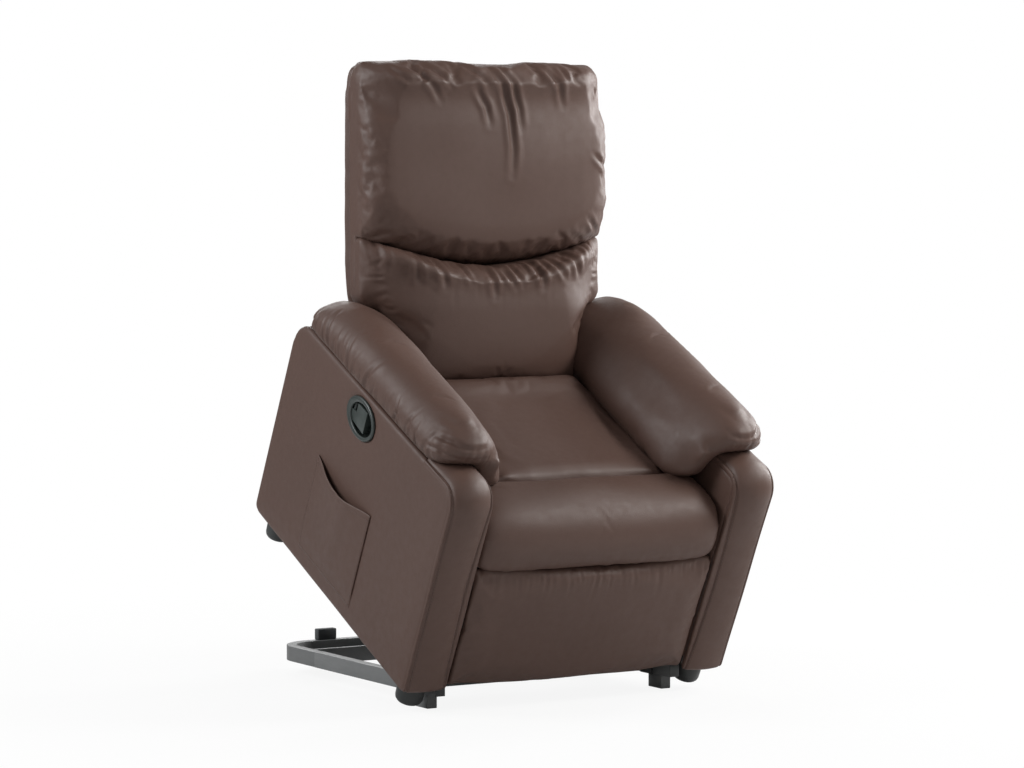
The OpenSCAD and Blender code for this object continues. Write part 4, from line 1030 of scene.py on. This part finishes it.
def head_cushion():
    obj = copy_nodes("head_cushion_pad", ["head_cushion"], to_back)
    co = round_front(coords(obj), 0.015)
    x, t, s = co.T       # views: co changes with them
    t[t > REAR_T] += REAR_SHIFT
    # the front leans back to the top, and its lower corners are rounded
    ahead = fall(t, 0.345, 0.03)
    t -= 0.25 * np.maximum(BACK_T - t, 0) * rise(s, 1.180, 0.065)
    t += 0.020 * ahead * np.clip((s - 1.05) / 0.20, 0, 1) ** 2
    s += 0.002 * rise(s, 1.20, 0.045)
    x *= 1 + 0.018 * ahead
    x *= 1 - 0.05 * ahead * fall(s, 0.945, 0.05) * rise(np.abs(x), 0.2, 0.08)
    # the lower edge reaches down to the lumbar cushion
    s -= 0.003 * fall(s, seam_height(x) + 0.05, 0.04)
    set_coords(obj, co)
    join(obj, *boxing(lambda h: 0.290 - 0.018 * rise(h, 1.228, 0.028), lambda x: seam_height(x) + 0.003,
                      lambda x: HEAD_REAR_TOP, 0.322))
    remesh(obj, 0.006, 5)
    blunt(obj, lambda p: np.maximum(
        fall(p[:, 1], 0.330, 0.02) * fall(p[:, 2], seam_height(p[:, 0]) + 0.085, 0.04),
        fall(p[:, 1], 0.350, 0.02) * rise(p[:, 2], 1.13, 0.05)), 60)
    # the front face reaches up to the top edge between the corners
    co = coords(obj)
    x, t, s = co.T
    t -= 0.027 * (rise(s, 1.192, 0.032) * fall(t, 0.345, 0.03) * fall(np.abs(x), 0.285, 0.07))
    set_coords(obj, co)
    blunt(obj, lambda p: fall(p[:, 1], 0.350, 0.02) * rise(p[:, 2], 1.12, 0.05), 40)
    puff(obj, lambda p: p[:, 1] > PINNED_T, 3.0, 0.010, 16, 0.02)
    subdivide(obj)

    def amount(p, n):
        x, t, s = p.T
        front = rise(-n[:, 1], 0.05, 0.4)
        out = lumps(p, 0.2, 0.0018, 91)
        out += front * gathers(x, HEAD_TOP - s, 92, 0.034, 0.0012, 0.05)
        strip = rise(np.abs(x), 0.258, 0.012) * fall(t, 0.352, 0.02)
        out += strip * pleats(s, np.abs(t - 0.296), 94, 0.036, 0.0009, 0.020, 0.006, 0.7)
        xs = np.stack([x, s], 1)
        for line, w, d in HEAD_FOLDS:
            out += front * crease(xs, line, FOLD_WIDTH * w, 0.8 * d, 0.75)
        return out

    push(obj, amount)
    place(obj, ["head_cushion"], M_LEATHER, BACK)


def lumbar_cushion():
    obj = copy_nodes("lumbar_cushion_pad", ["lumbar_cushion"], to_back)
    co = coords(obj)
    x, t, s = co.T
    x *= half_width(s) / solid_half(s, 0.286)
    round_front(co, 0.02)
    t[t > REAR_T] += REAR_SHIFT
    upper = rise(s, 0.82, 0.06)
    s += 0.003 * upper
    t -= 0.024 * upper * fall(t, 0.34, 0.03)
    set_coords(obj, co)
    join(obj, *boxing(lambda h: np.interp(h, *SHELL_HALF) - 0.001,
                      lambda x: 0.62, lambda x: seam_height(x) - 0.003, 0.325))
    remesh(obj, 0.006, 5)
    blunt(obj, lambda p: (0.35 + 0.65 * rise(p[:, 2], 0.775, 0.03)) * fall(p[:, 1], 0.330, 0.02), 110)
    # the front face reaches up under the head cushion
    co = coords(obj)
    x, t, s = co.T
    full = rise(s - seam_height(x), -0.048, 0.030) * fall(t, 0.345, 0.03)
    t -= 0.023 * full * fall(np.abs(x), 0.280, 0.07)
    set_coords(obj, co)
    blunt(obj, lambda p: rise(p[:, 2], 0.74, 0.04) * fall(p[:, 1], 0.335, 0.02), 36)
    puff(obj, lambda p: p[:, 1] > PINNED_T, 2.0, 0.007, 16, 0.01)
    subdivide(obj)

    def amount(p, n):
        x, t, s = p.T
        front = rise(-n[:, 1], 0.05, 0.4)
        out = lumps(p, 0.2, 0.0018, 101)
        out += front * pleats(x, seam_height(x) - s - 0.01, 102, 0.024, 0.0011, 0.045, 0.005, 0.1)
        strip = rise(np.abs(x) - half_width(s), -0.026, 0.012) * fall(t, 0.352, 0.02)
        out += strip * pleats(s, np.abs(t - 0.296), 103, 0.026, 0.0017, 0.020, 0.005, 0.8)
        xs = np.stack([x, s], 1)
        for line, w, d in LUMBAR_FOLDS:
            out += front * crease(xs, line, FOLD_WIDTH * w, 0.72 * d, 0.8)
        return out

    push(obj, amount)
    place(obj, ["lumbar_cushion"], M_LEATHER, BACK)


head_cushion()
lumbar_cushion()


def back_shell():
    """The rear cover and the padding beside the frame, as one sewn shell."""
    obj = copy_nodes("back_shell_cover", ["back_cover", "back_edge_pads"], to_back)
    co = coords(obj)
    x, t, s = co.T
    low, cover = s < 0.80, t > 0.3765
    x[cover] *= np.interp(s[cover], *SHELL_HALF) / solid_half(s[cover], 0.284)
    s += 0.008 * rise(s, 1.20, 0.045)
    corner = rise(s, 1.215, 0.045) * rise(np.abs(x), 0.20, 0.09)
    x *= 1 - 0.045 * corner
    t[~cover & (t > BACK_T + 0.012)] += 0.001
    # the padding follows the cover's outline
    pads = ~cover & low & (np.abs(x) > 0.2162)
    x[pads] = np.sign(x[pads]) * (np.interp(s[pads], *SHELL_HALF) - 0.001)
    set_coords(obj, co)
    remesh(obj, 0.006, 5)
    subdivide(obj)
    push(obj, lambda p, n: lumps(p, 0.2, 0.0012, 111) + 0.001
         + gathers(p[:, 2], 0.29 - np.abs(p[:, 0]), 112, 0.05, 0.0012, 0.03))
    place(obj, ["back_cover", "back_edge_pads"], M_SMOOTH, BACK)


back_shell()

# ---------- Side pocket ----------

POCKET = (0.256, 0.039, 0.245, 0.215)    # lower front corner (y, z), length, height
POCKET_DIP, POCKET_GAPE = 0.018, 0.018   # how far its mouth sags, and stands off the panel
POCKET_CLOTH = 0.0022


def pocket():
    cols, rows = 72, 56

    def point(u, v, lift):
        sag = math.sin(math.pi * u)
        x = 0.3803 + POCKET_CLOTH * ease(v / 0.2) + lift + (POCKET_GAPE - 0.003) * sag ** 1.2 * v ** 1.3
        ripple = 0.0007 * math.sin(15 * u + 2.5 * v) * sag * v ** 0.6 * ease((1 - u) * 4)
        fold = -0.0028 * math.exp(-(((u - 0.36 + 0.1 * v) / 0.05) ** 2)) * v * (1 - 0.7 * v) * sag
        fold -= 0.0024 * math.exp(-(((u - 0.58 + 0.06 * v) / 0.045) ** 2)) * v * (1 - 0.7 * v) * sag
        return (-(x + ripple + fold), POCKET[0] + u * POCKET[2],
                POCKET[1] + v * (POCKET[3] - POCKET_DIP * sag ** 1.5))

    verts, faces = [], []
    for lift in (0.0, POCKET_CLOTH):
        for j in range(rows + 1):
            for i in range(cols + 1):
                verts.append(point(i / cols, j / rows, lift))

    def at(i, j, k):
        return (k * (rows + 1) + j) * (cols + 1) + i

    for j in range(rows):
        for i in range(cols):
            faces.append((at(i, j, 0), at(i + 1, j, 0), at(i + 1, j + 1, 0), at(i, j + 1, 0)))
            faces.append((at(i, j, 1), at(i, j + 1, 1), at(i + 1, j + 1, 1), at(i + 1, j, 1)))
    for i in range(cols):
        faces.append((at(i, 0, 0), at(i, 0, 1), at(i + 1, 0, 1), at(i + 1, 0, 0)))
        faces.append((at(i, rows, 0), at(i + 1, rows, 0), at(i + 1, rows, 1), at(i, rows, 1)))
    for j in range(rows):
        faces.append((at(0, j, 0), at(0, j + 1, 0), at(0, j + 1, 1), at(0, j, 1)))
        faces.append((at(cols, j, 0), at(cols, j, 1), at(cols, j + 1, 1), at(cols, j + 1, 0)))
    obj = new_object("side_pocket_cover", verts, faces)
    place(obj, ["side_pocket"], M_SMOOTH, SEAT)
    # thread along its three sewn edges and the hem of its mouth
    inset, hem = 0.004, 0.012
    edges = [[point(inset / POCKET[2], v, POCKET_CLOTH) for v in np.linspace(0.99, 0.02, 40)],
             [point(u, inset / POCKET[3], POCKET_CLOTH) for u in np.linspace(0.02, 0.98, 40)],
             [point(1 - inset / POCKET[2], v, POCKET_CLOTH) for v in np.linspace(0.02, 0.99, 40)],
             [point(u, 1 - hem / POCKET[3], POCKET_CLOTH) for u in np.linspace(0.02, 0.98, 60)]]
    stitches("side_pocket_stitches", [stitch_row(edge, (-1.0, 0.0, 0.0)) for edge in edges], SEAT, "chair")


pocket()

# ---------- Release handle ----------

CUP_L, CUP_H, CUP_RIM = 0.119, 0.084, 0.018
RECESS_SHIFT = -0.0045    # the recess sits off the bezel's centre


def oval_ring(l, h, x, shift=0.0):
    return [(-x, HANDLE[0] + shift + l / 2 * math.cos(a), HANDLE[1] + h / 2 * math.sin(a))
            for a in np.linspace(0, 2 * math.pi, 97)[:-1]]


def handle_cup():
    """The bezel and its cup in one skin of oval rings: the rim, the recess, and the back."""
    l, h = CUP_L, CUP_H
    l_in, h_in = l - CUP_RIM, h - CUP_RIM
    steps = [(l, h, 0.3802), (l, h, 0.3818), (l - 0.001, h - 0.001, 0.3832), (l - 0.004, h - 0.004, 0.3842),
             (l - 0.008, h - 0.008, 0.3845), (l_in - 0.006, h_in, 0.3842, RECESS_SHIFT),
             (l_in - 0.008, h_in - 0.002, 0.3834, RECESS_SHIFT),
             (l_in - 0.009, h_in - 0.003, 0.382, RECESS_SHIFT),
             (l_in - 0.009, h_in - 0.003, 0.3805, RECESS_SHIFT), (l_in, h_in, 0.3790),
             (l_in, h_in, 0.350), (l_in - 0.004, h_in - 0.004, 0.3482), (0.02, 0.012, 0.3480)]
    back = [(0.02, 0.012, 0.3462), (l_in, h_in, 0.3462), (l_in + 0.004, h_in + 0.004, 0.3502),
            (l_in + 0.004, h_in + 0.004, 0.3802)]
    rings = [oval_ring(*step) for step in steps + back]
    m = len(rings[0])
    verts = [p for ring in rings for p in ring]
    # the cup's floor is closed by its own two small ovals
    split = len(steps) - 1
    faces = [f for f in quads(len(rings), m, True) if not (f[0] // m == split and f[2] // m == split + 1)]
    faces.append([split * m + i for i in range(m)][::-1])
    faces.append([(split + 1) * m + i for i in range(m)])
    obj = new_object("handle_bezel", verts, faces)
    place(obj, ["handle_cup"], M_HANDLE, SEAT)
    obj.data.set_sharp_from_angle(angle=math.radians(40))


handle_cup()


FINGER_GAP_Y = 0.4185 - 0.008


def broad_paddle(p):
    """The paddle fills the recess up to the finger gap at its front."""
    ahead = p[:, 1] < FINGER_GAP_Y
    p[ahead, 2] = HANDLE[1] + (p[ahead, 2] - HANDLE[1]) * 1.25
    return p


beveled("release_lever", 0.0018, M_HANDLE, SEAT, broad_paddle)

# ---------- Camera, light and floor ----------

# the camera fitted to the photograph: its focal length is in the photograph's pixels
FOCAL_PX, IMAGE_W, SENSOR_W = 3603.9, 1024, 36.0
CAMERA_AT, CAMERA_PITCH, CAMERA_YAW = (-3.817, -6.4395, 1.051), 90 - 3.20, -30.86

scene = bpy.context.scene
cam_data = bpy.data.cameras.new("Camera")
cam_data.sensor_width = SENSOR_W
cam_data.lens = SENSOR_W * FOCAL_PX / IMAGE_W
cam_data.clip_end = 100
camera = bpy.data.objects.new("Camera", cam_data)
camera.location = CAMERA_AT
camera.rotation_euler = (math.radians(CAMERA_PITCH), 0, math.radians(CAMERA_YAW))
scene.collection.objects.link(camera)
scene.camera = camera

# name, place, what it looks at, size, watts, colour
LAMPS = [("Key", (2.1, -1.7, 2.35), (0, -0.1, 1.0), (1.1, 1.1), 84, (1.0, 0.98, 0.955)),
         ("Right edge", (3.0, 0.3, 1.8), (0, 0, 1.0), (0.7, 1.8), 92, (1, 1, 1)),
         ("Left", (-3.2, 0.9, 2.5), (-0.3, 0.1, 0.6), (1.8, 1.8), 112, (0.97, 0.985, 1.0)),
         ("Front", (-0.6, -4.2, 2.2), (0, 0, 0.7), (2.2, 1.6), 24, (1, 1, 1)),
         ("Rear", (0.8, 3.0, 2.0), (0, 0, 0.7), (1.6, 1.6), 40, (1, 1, 1))]
for name, place_at, look_at, size, watts, colour in LAMPS:
    data = bpy.data.lights.new(name, "AREA")
    data.shape = "RECTANGLE"
    data.size, data.size_y = size
    data.energy = watts
    data.color = colour
    lamp = bpy.data.objects.new(name, data)
    lamp.location = place_at
    lamp.rotation_euler = (Vector(look_at) - Vector(place_at)).to_track_quat("-Z", "Y").to_euler()
    scene.collection.objects.link(lamp)

WORLD_STRENGTH = 0.20     # of its light; to the camera it is white
world = bpy.data.worlds.new("World")
scene.world = world
world.use_nodes = True
wt = world.node_tree
background = wt.nodes["Background"]
white = wt.nodes.new("ShaderNodeBackground")
for node, strength in ((background, WORLD_STRENGTH), (white, 1.0)):
    node.inputs["Color"].default_value = (1, 1, 1, 1)
    node.inputs["Strength"].default_value = strength
path = wt.nodes.new("ShaderNodeLightPath")
pick = wt.nodes.new("ShaderNodeMixShader")
wt.links.new(path.outputs["Is Camera Ray"], pick.inputs["Fac"])
wt.links.new(background.outputs[0], pick.inputs[1])
wt.links.new(white.outputs[0], pick.inputs[2])
wt.links.new(pick.outputs[0], wt.nodes["World Output"].inputs["Surface"])

# the floor turns into the white of the background away from the chair
floor = new_object("floor", [(-40, -40, 0), (40, -40, 0), (40, 40, 0), (-40, 40, 0)], [(0, 1, 2, 3)])
g = Graph("floor")
speck = g.noise(40.0, 3.0)
floor_tone = g.ramp(speck, [(0.3, (0.60, 0.60, 0.60, 1)), (0.7, (0.64, 0.64, 0.64, 1))])
g.done(Base_Color=floor_tone, Roughness=0.75, Specular_IOR_Level=0.2)
distance = g.add("ShaderNodeVectorMath")
distance.operation = "LENGTH"
g.link(g.coord, distance.inputs[0])
far = g.span(distance.outputs["Value"], 0.90, 1.0, 0.6, 1.9)
glow = g.add("ShaderNodeEmission", Strength=1.0)
glow.inputs["Color"].default_value = (1, 1, 1, 1)
light_path = g.tree.nodes.new("ShaderNodeLightPath")
seen = g.add("ShaderNodeMath")
seen.operation = "MULTIPLY"
g.link(far, seen.inputs[0])
g.link(light_path.outputs["Is Camera Ray"], seen.inputs[1])
mixer = g.tree.nodes.new("ShaderNodeMixShader")
g.link(seen.outputs[0], mixer.inputs["Fac"])
g.link(g.shader.outputs[0], mixer.inputs[1])
g.link(glow.outputs[0], mixer.inputs[2])
g.link(mixer.outputs[0], g.tree.nodes["Material Output"].inputs["Surface"])
floor.data.materials.append(g.mat)

scene.view_settings.view_transform = "Standard"
